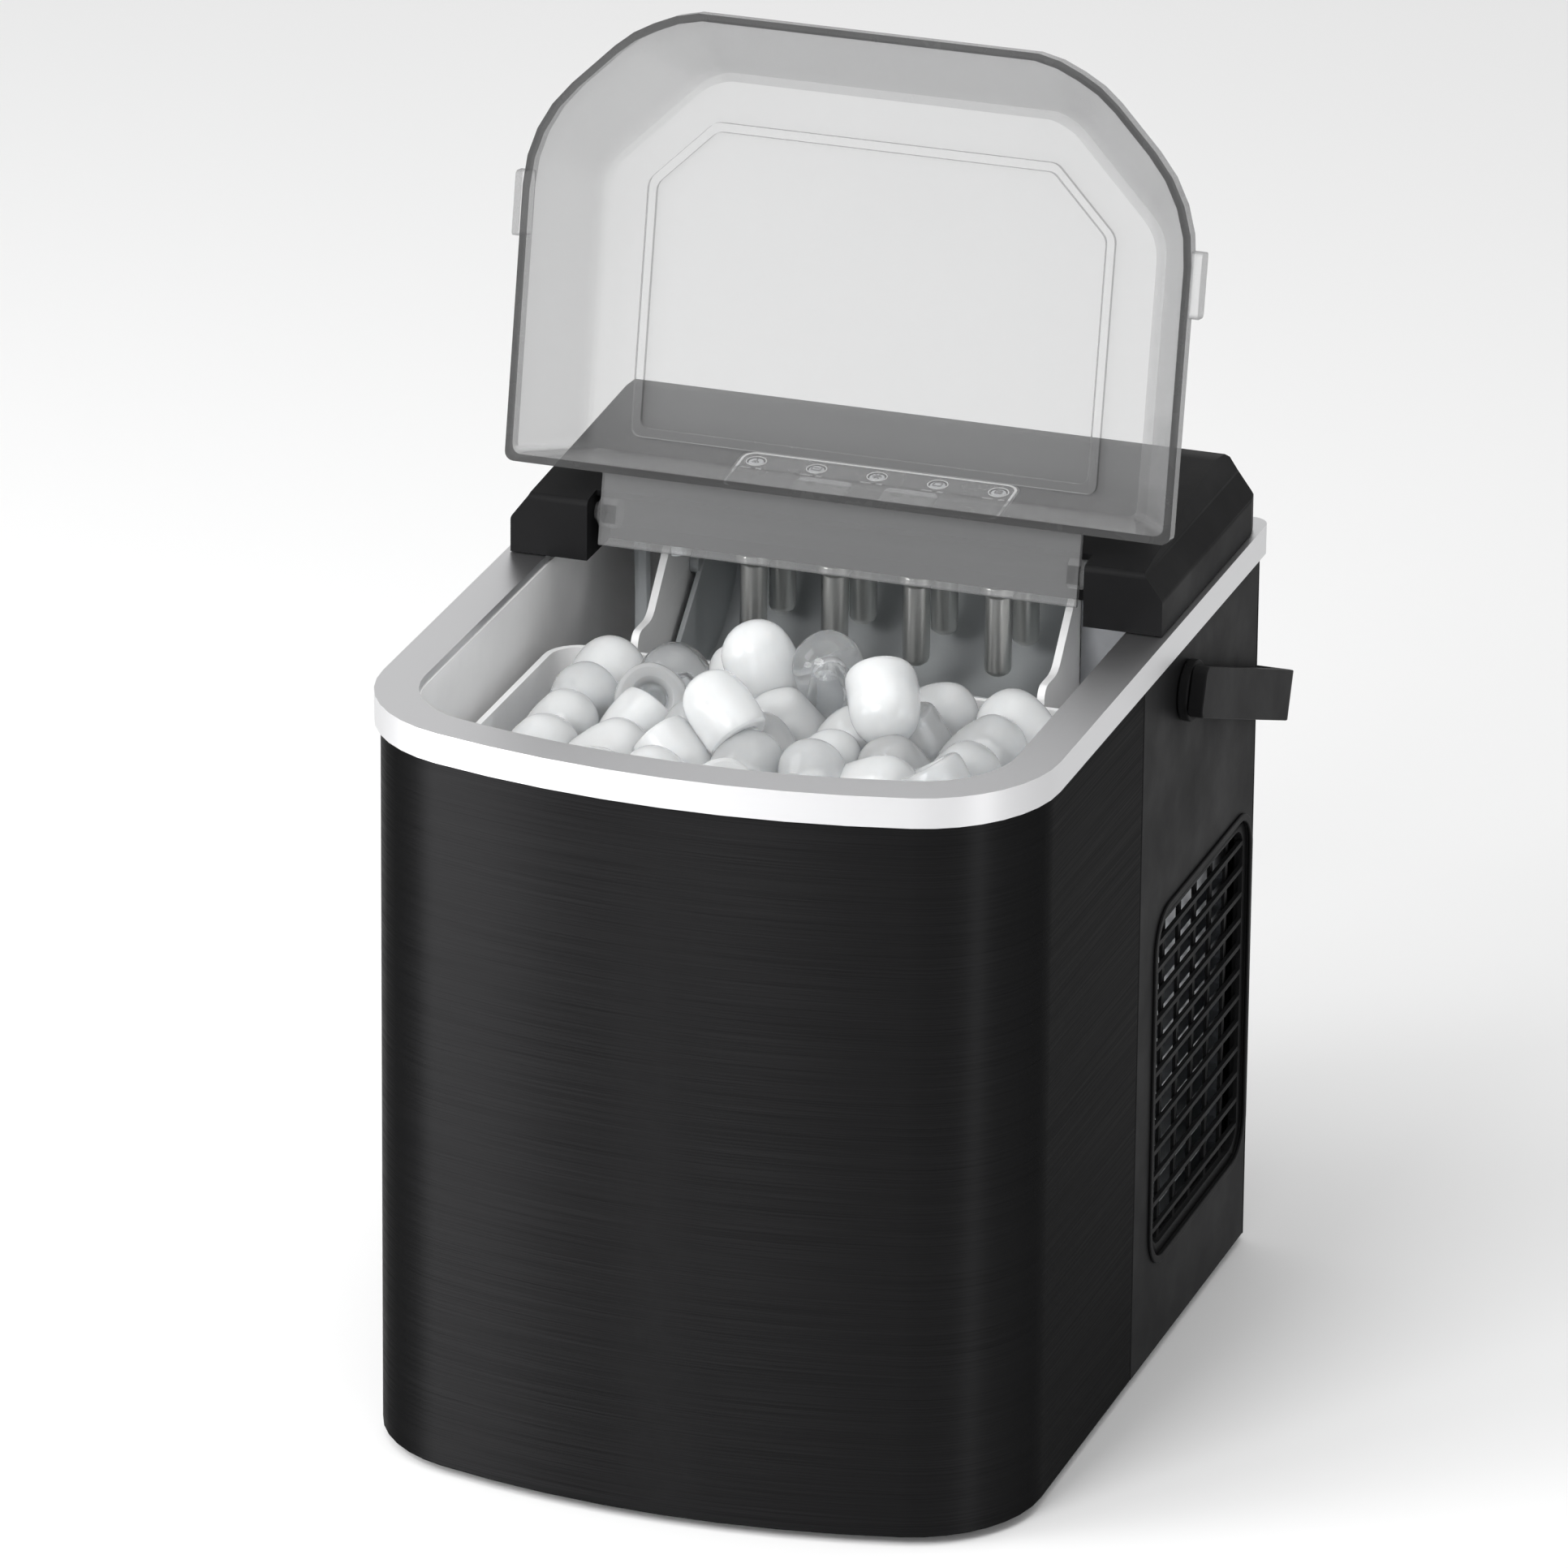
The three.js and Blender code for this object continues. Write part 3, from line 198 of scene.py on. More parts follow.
def brushed_group():
    """Fine straight grain that runs level round upright faces and across flat ones."""
    tree, start, end, where = new_group(
        "Brushed Grain", {"Fineness": 1.0, "Contrast": 1.0}, ("Grain", "Streaks"))
    facing = tree.nodes.new("ShaderNodeNewGeometry").outputs["Normal"]
    up = node(tree, "ShaderNodeSeparateXYZ", vector=facing).outputs["Z"]
    flat = math_node(tree, "GREATER_THAN", math_node(tree, "ABSOLUTE", up), 0.7)
    for output, along, across in (("Grain", 14, 2600), ("Streaks", 5, 620)):
        strands = []
        for scale in ((along, along, across), (along, across, 1)):
            strand = node(tree, "ShaderNodeTexNoise", vector=stretch(tree, where, scale), detail=3.0)
            plug(tree, start.outputs["Fineness"], strand.inputs["Scale"])
            strands.append(strand.outputs[0])
        centred = math_node(tree, "SUBTRACT", mix_value(tree, flat, *strands), 0.5)
        strong = math_node(tree, "MULTIPLY", centred, start.outputs["Contrast"])
        plug(tree, math_node(tree, "ADD", strong, 0.5), end.inputs[output])
    return tree


def mould_group():
    """Fine even grain of a textured mould, with slow changes of gloss from handling."""
    tree, start, end, where = new_group("Mould Texture", {"Grain Size": 0.00045}, ("Height", "Gloss"))
    rate = math_node(tree, "DIVIDE", 1.0, start.outputs["Grain Size"])
    grain = node(tree, "ShaderNodeTexVoronoi", vector=where, feature="SMOOTH_F1")
    plug(tree, rate, grain.inputs["Scale"])
    plug(tree, grain.outputs["Distance"], end.inputs["Height"])
    slow = node(tree, "ShaderNodeTexNoise", vector=where, scale=28.0, detail=4.0, roughness=0.6)
    plug(tree, slow.outputs[0], end.inputs["Gloss"])
    return tree


def wear_group():
    """Worn outer edges: 1 on a sharp outer edge, 0 elsewhere, broken up by noise."""
    tree, start, end, where = new_group("Edge Wear", {"Amount": 1.0}, ("Mask",))
    shape = tree.nodes.new("ShaderNodeNewGeometry").outputs["Pointiness"]
    edge = ranged(tree, shape, 0.0, 1.0, start=0.53, end=0.60)
    patches = node(tree, "ShaderNodeTexNoise", vector=where, scale=160.0, detail=3.0)
    broken = math_node(tree, "MULTIPLY", edge, patches.outputs[0])
    plug(tree, math_node(tree, "MULTIPLY", broken, start.outputs["Amount"]), end.inputs["Mask"])
    return tree


def dust_group():
    """Dust that settles on faces that look up."""
    tree, start, end, where = new_group("Settled Dust", {"Amount": 1.0}, ("Mask",))
    facing = tree.nodes.new("ShaderNodeNewGeometry").outputs["Normal"]
    up = node(tree, "ShaderNodeSeparateXYZ", vector=facing).outputs["Z"]
    raised = math_node(tree, "MAXIMUM", up, 0.0)
    specks = node(tree, "ShaderNodeTexNoise", vector=where, scale=420.0, detail=5.0, roughness=0.7)
    cloud = node(tree, "ShaderNodeTexNoise", vector=where, scale=22.0, detail=3.0)
    both = math_node(tree, "MULTIPLY", specks.outputs[0], cloud.outputs[0])
    settled = math_node(tree, "MULTIPLY", both, raised)
    plug(tree, math_node(tree, "MULTIPLY", settled, start.outputs["Amount"]), end.inputs["Mask"])
    return tree


GROUP_MAKERS = {"Brushed Grain": brushed_group, "Mould Texture": mould_group,
                "Edge Wear": wear_group, "Settled Dust": dust_group}


def group(tree, name, **values):
    """One of the shared groups placed in a material with its own values."""
    shared = bpy.data.node_groups.get(name) or GROUP_MAKERS[name]()
    made = tree.nodes.new("ShaderNodeGroup")
    made.node_tree = shared
    for label, value in values.items():
        made.inputs[label.replace("_", " ")].default_value = value
    return made


def new_material(name, **sockets):
    """A material with one Principled shader whose plain sockets are set by name."""
    made = bpy.data.materials.new(name)
    made.use_nodes = True
    shader = made.node_tree.nodes["Principled BSDF"]
    for label, value in sockets.items():
        shader.inputs[label.replace("_", " ")].default_value = value
    return made, made.node_tree, shader


def bumped(tree, shader, height, strength, distance):
    bump = node(tree, "ShaderNodeBump", height=height, strength=strength, distance=distance)
    plug(tree, bump.outputs[0], shader.inputs["Normal"])


def rgb(colour, gain=1.0):
    """A colour with alpha, made lighter or darker by a factor."""
    return (*(min(1.0, c * gain) for c in colour), 1.0)


# ---------------------------------------------------------------- materials
DUST = (0.32, 0.32, 0.31, 1)
ICE_IOR = 1.31


def brushed_metal(name, colour, roughness, contrast, wear, grazing=1.0, spread=0.75):
    """Metal with level grain; grazing is its gloss seen edge-on, spread how far lights are drawn out."""
    made, tree, shader = new_material(name, Metallic=1.0, Anisotropic=spread, Anisotropic_Rotation=0.25)
    shader.inputs["Specular Tint"].default_value = (grazing, grazing, grazing, 1)
    lay = node(tree, "ShaderNodeTangent", direction_type="RADIAL", axis="Z")
    plug(tree, lay.outputs[0], shader.inputs["Tangent"])
    grain = group(tree, "Brushed Grain", Contrast=contrast)
    mask = group(tree, "Edge Wear", Amount=wear).outputs["Mask"]
    swing = 0.45 * contrast
    tint = mix_colour(tree, grain.outputs["Grain"], rgb(colour, 1 - swing), rgb(colour, 1 + swing))
    broad = mix_colour(tree, grain.outputs["Streaks"], rgb((1, 1, 1), 0.86), (1, 1, 1, 1))
    shade = mix_colour(tree, 1.0, tint, broad, blend="MULTIPLY")
    plug(tree, mix_colour(tree, mask, shade, rgb(colour, 1.6)), shader.inputs["Base Color"])
    gloss = ranged(tree, grain.outputs["Grain"], roughness - 0.07, roughness + 0.07)
    plug(tree, gloss, shader.inputs["Roughness"])
    bumped(tree, shader, grain.outputs["Grain"], 0.25 * contrast, 0.00006)
    return made


def moulded(name, colour, roughness, grain=0.00045, strength=0.25, dust=0.25, coat=0.0, gloss=0.4):
    """Plastic, rubber or paint with the fine grain of its mould, worn edges and a little dust."""
    made, tree, shader = new_material(name, Coat_Weight=coat, Specular_IOR_Level=gloss)
    texture = group(tree, "Mould Texture", Grain_Size=grain)
    wear = group(tree, "Edge Wear", Amount=0.5).outputs["Mask"]
    dusty = group(tree, "Settled Dust", Amount=dust).outputs["Mask"]
    clean = mix_colour(tree, texture.outputs["Gloss"], rgb(colour, 0.9), rgb(colour, 1.1))
    worn = mix_colour(tree, wear, clean, rgb(colour, 1.8))
    plug(tree, mix_colour(tree, dusty, worn, DUST), shader.inputs["Base Color"])
    dull = ranged(tree, texture.outputs["Gloss"], roughness - 0.06, roughness + 0.08)
    plug(tree, dull, shader.inputs["Roughness"])
    bumped(tree, shader, texture.outputs["Height"], strength, grain * 0.35)
    return made


def clear_smoke():
    """Clear smoke plastic: see-through face-on, and denser and darker where it is seen edge-on."""
    colour = colours().smoke
    made, tree, shader = new_material("Smoke Clear", Specular_IOR_Level=0.3)
    texture = group(tree, "Mould Texture", Grain_Size=0.02)
    edge_on = node(tree, "ShaderNodeLayerWeight", blend=0.35).outputs["Facing"]
    tint = mix_colour(tree, texture.outputs["Gloss"], rgb(colour, 0.97), rgb(colour, 1.03))
    plug(tree, mix_colour(tree, edge_on, tint, rgb(colour, 0.15)), shader.inputs["Base Color"])
    plug(tree, ranged(tree, texture.outputs["Gloss"], 0.05, 0.10), shader.inputs["Roughness"])
    plug(tree, ranged(tree, edge_on, 0.20, 0.90, start=0.0, end=1.0), shader.inputs["Alpha"])
    return made


def painted_edge_shade():
    """Painted shade for the dark line along the lid's lower edge: the faces where light comes out of the sheet's
    thickness get a near-black copy of the smoke tint.
    """
    colour = colours().smoke
    made, tree, shader = new_material("Smoke Edge Painted Shade", Alpha=0.9, Specular_IOR_Level=0.15)
    texture = group(tree, "Mould Texture", Grain_Size=0.01)
    # painted shade: the edge's colour is the smoke tint darkened to about a tenth
    tint = mix_colour(tree, texture.outputs["Gloss"], rgb(colour, 0.09), rgb(colour, 0.13))
    plug(tree, tint, shader.inputs["Base Color"])
    plug(tree, ranged(tree, texture.outputs["Gloss"], 0.2, 0.3), shader.inputs["Roughness"])
    return made


def ice_material(name, transmission, roughness, cloud):
    """Wet ice: cloud is how much rougher its hazy patches are than its clear ones."""
    made, tree, shader = new_material(
        name, Transmission_Weight=transmission, IOR=ICE_IOR, Subsurface_Weight=0.5, Subsurface_Scale=0.008)
    shader.inputs["Subsurface Radius"].default_value = (1.0, 1.05, 1.1)
    where = tree.nodes.new("ShaderNodeTexCoord").outputs["Object"]
    haze = node(tree, "ShaderNodeTexNoise", vector=where, scale=90.0, detail=4.0, roughness=0.6)
    tint = mix_colour(tree, haze.outputs[0], (0.86, 0.88, 0.89, 1), (0.95, 0.96, 0.97, 1))
    plug(tree, tint, shader.inputs["Base Color"])
    plug(tree, ranged(tree, haze.outputs[0], roughness, roughness + cloud), shader.inputs["Roughness"])
    melt = node(tree, "ShaderNodeTexNoise", vector=where, scale=260.0, detail=2.0)
    bumped(tree, shader, melt.outputs[0], 0.2, 0.0003)
    return made


def printed(name, colour):
    """Ink, or plain plastic as smooth as ink."""
    made, tree, shader = new_material(name)
    texture = group(tree, "Mould Texture", Grain_Size=0.0004)
    tint = mix_colour(tree, texture.outputs["Gloss"], rgb(colour, 0.9), rgb(colour, 1.1))
    plug(tree, tint, shader.inputs["Base Color"])
    plug(tree, ranged(tree, texture.outputs["Gloss"], 0.35, 0.5), shader.inputs["Roughness"])
    return made


def finishes():
    """Every finish, by its slot in the record."""
    shades = colours()
    return {
        "brushed_black": brushed_metal("Brushed Black", shades.body, 0.46, 1.15, 0.3, 0.5, 0.85),
        "black_plastic": moulded(
            "Black Moulding", shades.plastic, 0.52, strength=0.08, dust=0.03, gloss=0.06),
        "brushed_steel": brushed_metal("Brushed Rim", shades.rim, 0.36, 0.09, 0.0, 1.0, 0.3),
        "panel_film": moulded("Panel Film", (0.028, 0.028, 0.03), 0.26, 0.0003, 0.06, 0.1, 0.3),
        "smoke_clear": clear_smoke(),
        "white_plastic": moulded("White Moulding", shades.liner, 0.36, 0.0012, 0.03, 0.0),
        "grey_plastic": moulded("Grey Moulding", (0.46, 0.48, 0.49), 0.36, 0.0008, 0.06, 0.0),
        "lens": printed("Clear Lens", (0.72, 0.74, 0.76)),
        "nickel": brushed_metal("Satin Nickel", (0.80, 0.80, 0.78), 0.28, 0.05, 0.0),
        "rubber": moulded("Rubber", (0.012, 0.012, 0.012), 0.75, 0.0006, 0.3, 0.4),
        "black_steel": moulded("Black Enamel", (0.02, 0.02, 0.021), 0.32, 0.0009, 0.12, 0.4, 0.3),
        "black_nylon": moulded("Black Nylon", (0.02, 0.02, 0.021), 0.5),
        "motor_steel": brushed_metal("Motor Can", (0.42, 0.43, 0.45), 0.35, 0.2, 0.4),
        "copper": brushed_metal("Drawn Copper", (0.72, 0.36, 0.20), 0.3, 0.15, 0.4),
        "fins": brushed_metal("Cooling Fins", (0.58, 0.60, 0.62), 0.33, 0.2, 0.2),
        "hose": moulded("Milky Hose", (0.66, 0.69, 0.71), 0.35, 0.001, 0.05, 0.0),
        "circuit_board": moulded("Board Lacquer", (0.02, 0.12, 0.05), 0.3, 0.0012, 0.15, 0.2, 0.4),
    }


FINISHES = {}


def finish_of(slot):
    """The slot's material; all of them are made the first time one is asked for."""
    if not FINISHES:
        FINISHES.update(finishes())
    return FINISHES[slot]


SLOT_OF = {part["node"]: part["material_slot"] for part in frame["record"]["subparts"]}
BODY_OF = {name: body for body, names in frame["record"]["behaviour"]["bodies"].items() for name in names}


# ---------------------------------------------------------------- mesh helpers
def add_piece(name, mesh, body, slot, material=None, replaces=()):
    """Puts a mesh in the scene as a piece that rides on a body, in its slot's finish or its own."""
    piece = bpy.data.objects.new(name, mesh)
    bpy.context.scene.collection.objects.link(piece)
    mesh.materials.clear()
    mesh.materials.append(material or finish_of(slot))
    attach(piece, body)
    if replaces:
        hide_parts(*replaces)
    return piece


def shade_smooth(mesh):
    mesh.polygons.foreach_set("use_smooth", [True] * len(mesh.polygons))
    mesh.set_sharp_from_angle(angle=SMOOTH_ANGLE)


def welded(name, whole_faces):
    """The mesh of a frame node with its corners joined, and its flat faces too if they are to be whole."""
    work = bmesh.new()
    work.from_mesh(frame["nodes"][name].data)
    bmesh.ops.remove_doubles(work, verts=work.verts, dist=WELD)
    if whole_faces:
        bmesh.ops.dissolve_limit(
            work, angle_limit=FLAT_ANGLE, verts=work.verts, edges=work.edges, use_dissolve_boundaries=False)
    mesh = bpy.data.meshes.new(name + "_mesh")
    work.to_mesh(mesh)
    work.free()
    return mesh


def pierced(name):
    """A copy of a frame node whose flat faces are full of holes, with its edges left as they are."""
    mesh = welded(name, False)
    shade_smooth(mesh)
    return add_piece(name + "_surface", mesh, BODY_OF[name], SLOT_OF[name], replaces=(name,))


def refined(name, radius=None, segments=3, whole_faces=True):
    """A copy of a frame node with its hard edges rounded and its bends smooth.

    Its flat faces are joined up unless they have so many holes that a joined face would fill badly.
    """
    mesh = welded(name, whole_faces)
    shade_smooth(mesh)
    piece = add_piece(name + "_surface", mesh, BODY_OF[name], SLOT_OF[name], replaces=(name,))
    bevel = piece.modifiers.new("Edges", "BEVEL")
    bevel.width = sizes().edge if radius is None else radius
    bevel.segments = segments
    bevel.limit_method = "ANGLE"
    bevel.angle_limit = SMOOTH_ANGLE
    bevel.use_clamp_overlap = True
    bevel.miter_outer = "MITER_ARC"
    weight = piece.modifiers.new("Normals", "WEIGHTED_NORMAL")
    weight.keep_sharp = True
    return piece


def mesh_from(name, work):
    """A shaded mesh from a finished working mesh, which is used up."""
    bmesh.ops.recalc_face_normals(work, faces=work.faces)
    mesh = bpy.data.meshes.new(name + "_mesh")
    work.to_mesh(mesh)
    work.free()
    shade_smooth(mesh)
    return mesh


def plate(work, outline, low, high, hole=None):
    """Adds a flat plate, or with a hole of as many points a flat ring, between two heights."""
    rings = []
    for z in (low, high):
        rings.append([work.verts.new((x, y, z)) for x, y in outline])
        if hole:
            rings.append([work.verts.new((x, y, z)) for x, y in hole])
    count = len(outline)
    following = [(i, (i + 1) % count) for i in range(count)]
    if not hole:
        bottom, top = rings
        work.faces.new(bottom[::-1])
        work.faces.new(top)
        for i, j in following:
            work.faces.new((bottom[i], bottom[j], top[j], top[i]))
        return
    bottom, bottom_in, top, top_in = rings
    for i, j in following:
        work.faces.new((bottom[i], bottom[j], top[j], top[i]))
        work.faces.new((bottom_in[j], bottom_in[i], top_in[i], top_in[j]))
        work.faces.new((top[i], top[j], top_in[j], top_in[i]))
        work.faces.new((bottom[j], bottom[i], bottom_in[i], bottom_in[j]))


def round_rect(cx, cy, width, depth, radius, steps=6):
    """The corner points of a rectangle with round corners, anticlockwise."""
    points = []
    for corner, (sx, sy) in enumerate(((1, 1), (-1, 1), (-1, -1), (1, -1))):
        x = cx + sx * (width / 2 - radius)
        y = cy + sy * (depth / 2 - radius)
        for k in range(steps + 1):
            angle = math.pi / 2 * (corner + k / steps)
            points.append((x + radius * math.cos(angle), y + radius * math.sin(angle)))
    return points


def disc(cx, cy, radius, count=24):
    """The corner points of a circle, anticlockwise."""
    turn = 2 * math.pi / count
    return [(cx + radius * math.cos(i * turn), cy + radius * math.sin(i * turn)) for i in range(count)]


# ---------------------------------------------------------------- frame measures
PANEL_LOW, PANEL_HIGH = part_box("panel_overlay")
BASKET_LOW, BASKET_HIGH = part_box("ice_basket")
SIDE_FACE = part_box("side_panel_right")[1].x
BASKET_MARGIN = 0.0028  # from the outside of the basket's walls to the ice
LENSES = 5
FEET = 4
FINGERS = 8
GROMMETS = 3
ON_FACE = 0.00002  # air under what lies on a face, so that the two never flicker


def joint(name):
    return next(j for j in frame["joints"] if j["name"] == name)


def deck_matrix():
    """The control panel's plane: local Z is its outward normal, the origin its middle."""
    rise = PANEL_HIGH.z - PANEL_LOW.z
    run = PANEL_HIGH.y - PANEL_LOW.y
    press = joint("button_power_press")["axis"]
    slope = math.atan2(press[1], -press[2])
    thick = rise - run * math.tan(slope)
    middle = (PANEL_LOW + PANEL_HIGH) / 2
    lift = Vector((0, -math.sin(slope), math.cos(slope))) * (thick / 2)
    return Matrix.Translation(middle + lift) @ Matrix.Rotation(slope, 4, "X")


# ---------------------------------------------------------------- operators
class IceMakerOperator:
    """What every operator of the ice maker shares."""

    bl_options = {"REGISTER", "UNDO"}


class ICEMAKER_OT_casing(IceMakerOperator, bpy.types.Operator):
    """Front wrap, side and rear panels, base and feet"""

    bl_idname = "icemaker.casing"
    bl_label = "Casing"

    def execute(self, context):
        for name in ("front_wrap", "side_panel_left", "side_panel_right"):
            refined(name)
        for name in ("rear_panel", "base_pan"):
            pierced(name)
        for i in range(FEET):
            refined(f"foot_{i + 1}", FINE_EDGE)
        refined("power_inlet", FINE_EDGE)
        refined("drain_cap", WALL_EDGE)
        return {"FINISHED"}


class ICEMAKER_OT_rim(IceMakerOperator, bpy.types.Operator):
    """Brushed rim round the top of the body"""

    bl_idname = "icemaker.rim"
    bl_label = "Rim"

    def execute(self, context):
        refined("rim_trim", RIM_EDGE, 5)
        return {"FINISHED"}


SURROUND_GROWTH = 4.5 * MM  # how much longer and wider the ring round a vent is than the grille
SURROUND_LAP = 0.4 * MM  # how much the ring's opening is smaller than the grille
SURROUND_HEIGHT = 0.9 * MM
SURROUND_CORNER = 14 * MM
SURROUND_EDGE = 0.3 * MM
OPENING_CORNER = 11.8 * MM


class ICEMAKER_OT_grilles(IceMakerOperator, bpy.types.Operator):
    """Side vent grilles with their raised surrounds"""

    bl_idname = "icemaker.grilles"
    bl_label = "Vent grilles"

    def execute(self, context):
        self.vent("vent_grille_left", "vent_surround_left", -1)
        self.vent("vent_grille_right", "vent_surround_right", 1)
        return {"FINISHED"}

    def vent(self, grille, surround, side):
        """A grille and the flat ring round it, which stands a little proud of the side panel."""
        pierced(grille)
        low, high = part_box(grille)
        cy, cz = (low.y + high.y) / 2, (low.z + high.z) / 2
        width, height = high.y - low.y, high.z - low.z
        outer = round_rect(cy, cz, width + SURROUND_GROWTH, height + SURROUND_GROWTH, SURROUND_CORNER)
        inner = round_rect(cy, cz, width - SURROUND_LAP, height - SURROUND_LAP, OPENING_CORNER)
        work = bmesh.new()
        plate(work, outer, 0.0, SURROUND_HEIGHT, inner)
        for v in work.verts:
            v.co = Vector((side * (SIDE_FACE + v.co.z + ON_FACE), v.co.x, v.co.y))
        piece = add_piece(surround, mesh_from(surround, work), BODY_OF[grille], "black_plastic")
        soft = piece.modifiers.new("Edges", "BEVEL")
        soft.width = SURROUND_EDGE
        soft.segments = 2


class ICEMAKER_OT_cover(IceMakerOperator, bpy.types.Operator):
    """Top cover behind the lid"""

    bl_idname = "icemaker.cover"
    bl_label = "Top cover"

    def execute(self, context):
        refined("top_cover", COVER_EDGE, 4)
        return {"FINISHED"}


# The small generic marks, as short bars: (x, y, length, angle in degrees), in millimetres.
DROP = [(0, 0.2, 2.6, 90), (-0.7, -0.5, 1.4, 60), (0.7, -0.5, 1.4, 120)]
FULL_BIN = [(0, -1.1, 3.0, 0), (-1.5, 0, 2.2, 90), (1.5, 0, 2.2, 90), (0, 0.5, 1.8, 0)]
STAR = [(0, 0, 3.2, 0), (0, 0, 3.2, 60), (0, 0, 3.2, 120)]
LARGE_ICE = [(0, -1.2, 2.6, 0), (0, 1.2, 2.6, 0), (-1.3, 0, 2.4, 90), (1.3, 0, 2.4, 90)]
SMALL_ICE = [(0, -0.9, 2.0, 0), (0, 0.9, 2.0, 0), (-1.0, 0, 1.8, 90), (1.0, 0, 1.8, 90), (0, 0, 1.0, 45)]
LENS_ICONS = (DROP, FULL_BIN, STAR, LARGE_ICE, SMALL_ICE)

# The print on the panel, measured from a lens's or a key's middle where it belongs to one.
PRINT_HEIGHT = 0.14 * MM
PRINT_INSET = 0.8 * MM  # from the film's edge to the outline
PRINT_CORNER = 4.4 * MM
RING_OUTER, RING_INNER = 3.4 * MM, 3.1 * MM
BARS_BELOW = 5.2 * MM
BARS = ((3.6 * MM, -2.1 * MM), (2.0 * MM, 2.4 * MM))  # length and sideways shift
BAR_WIDTH = 0.5 * MM
INK_HEIGHT = 0.3 * MM
KEY_DISH = 0.45 * MM  # from a key's highest point down to its marks
KEY_LINE = 0.45 * MM
KEY_ICON_SHIFT = 3.6 * MM
DASH_LENGTH, DASH_WIDTH = 1.4 * MM, 0.6 * MM
DASH_SHIFT, DASH_STEP = 1.4 * MM, 2.2 * MM
DASHES = 3
LENS_MARK_LOW, LENS_MARK_HIGH = 0.1 * MM, 0.3 * MM


def stroke(work, x, y, length, angle, width, low, high):
    """Adds one straight bar of a printed mark, turned about its middle."""
    turn = Matrix.Rotation(math.radians(angle), 2)
    along, across = length / 2, width / 2
    corners = ((-along, -across), (along, -across), (along, across), (-along, across))
    outline = [(Vector((x, y)) + turn @ Vector(corner))[:] for corner in corners]
    plate(work, outline, low, high)


class ICEMAKER_OT_panel(IceMakerOperator, bpy.types.Operator):
    """Control panel film, printed marks, keys and indicator lenses"""

    bl_idname = "icemaker.panel"
    bl_label = "Control panel"

    def execute(self, context):
        refined("panel_overlay", FILM_EDGE, 2)
        place = deck_matrix()
        low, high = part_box("indicator_lens_1")
        lens_y = (low.y + high.y) / 2 - (PANEL_LOW.y + PANEL_HIGH.y) / 2
        self.print_film(place, lens_y)
        for name, icon in (("button_power", STAR), ("button_select", FULL_BIN)):
            key = refined(name, KEY_EDGE)
            key.data.materials[0] = printed("Key " + name.split("_")[1].title(), (0.72, 0.73, 0.74))
            self.mark_key(name, icon, place)
        for i, icon in enumerate(LENS_ICONS, 1):
            refined(f"indicator_lens_{i}", FINE_EDGE, 2)
            self.mark_lens(i, icon, place, lens_y)
        refined("control_board", FILM_EDGE, 1)
        return {"FINISHED"}

    def print_film(self, place, lens_y):
        """The outline round the film, and a ring and two plain bars for each lens."""
        low, high = ON_FACE, PRINT_HEIGHT
        line = sizes().line
        width = PANEL_HIGH.x - PANEL_LOW.x - 2 * PRINT_INSET
        depth = PANEL_HIGH.y - PANEL_LOW.y - 2 * PRINT_INSET
        outer = round_rect(0, 0, width, depth, PRINT_CORNER)
        inner = round_rect(0, 0, width - 2 * line, depth - 2 * line, PRINT_CORNER - line)
        work = bmesh.new()
        plate(work, outer, low, high, inner)
        for i in range(LENSES):
            x = self.lens_middle(i + 1)
            for length, shift in BARS:
                stroke(work, x + shift, lens_y - BARS_BELOW, length, 0, BAR_WIDTH, low, high)
            plate(work, disc(x, lens_y, RING_OUTER), low, high, disc(x, lens_y, RING_INNER))
        mesh = mesh_from("panel_print", work)
        mesh.transform(place)
        add_piece("panel_print", mesh, "machine", "panel_film", printed("Panel Print", colours().marking))

    def lens_middle(self, i):
        low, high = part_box(f"indicator_lens_{i}")
        return (low.x + high.x) / 2

    def mark_key(self, name, icon, place):
        """A key's icon at its left, and three dashes beside it."""
        low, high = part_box(name)
        middle = place.inverted() @ Vector(((low.x + high.x) / 2, (low.y + high.y) / 2, high.z))
        base = middle.z - KEY_DISH
        top = base + INK_HEIGHT
        work = bmesh.new()
        for x, y, length, angle in icon:
            left = middle.x - KEY_ICON_SHIFT + x * MM
            stroke(work, left, middle.y + y * MM, length * MM, angle, KEY_LINE, base, top)
        for k in range(DASHES):
            right = middle.x + DASH_SHIFT + k * DASH_STEP
            stroke(work, right, middle.y, DASH_LENGTH, 0, DASH_WIDTH, base, top)
        mesh = mesh_from(name + "_mark", work)
        mesh.transform(place)
        add_piece(name + "_mark", mesh, BODY_OF[name], "panel_film", printed("Key Print", (0.16, 0.16, 0.17)))

    def mark_lens(self, i, icon, place, lens_y):
        """The icon on a lens."""
        x = self.lens_middle(i)
        work = bmesh.new()
        for dx, dy, length, angle in icon:
            stroke(work, x + dx * MM, lens_y + dy * MM, length * MM, angle, BAR_WIDTH,
                   LENS_MARK_LOW, LENS_MARK_HIGH)
        mesh = mesh_from("lens_mark", work)
        mesh.transform(place)
        add_piece(f"lens_mark_{i}", mesh, "machine", "panel_film", printed("Lens Print", (0.2, 0.2, 0.21)))


class ICEMAKER_OT_lid(IceMakerOperator, bpy.types.Operator):
    """Clear smoke lid with the painted shade of a dark line along its lower edge"""

    bl_idname = "icemaker.lid"
    bl_label = "Lid"

    def execute(self, context):
        lid = refined("lid", WALL_EDGE)
        # painted shade: the lid's lowest faces take the near-black edge material as its dark line
        lid.data.materials.append(painted_edge_shade())
        opened = math.radians(joint("lid_hinge")["range_deg"][1])
        out = Vector((0, -math.sin(opened), -math.cos(opened)))
        edge = max(v.co.dot(out) for v in lid.data.vertices)
        for face in lid.data.polygons:
            if face.normal.dot(out) > 0.98 and face.center.dot(out) > edge - MM:
                face.material_index = 1
        return {"FINISHED"}


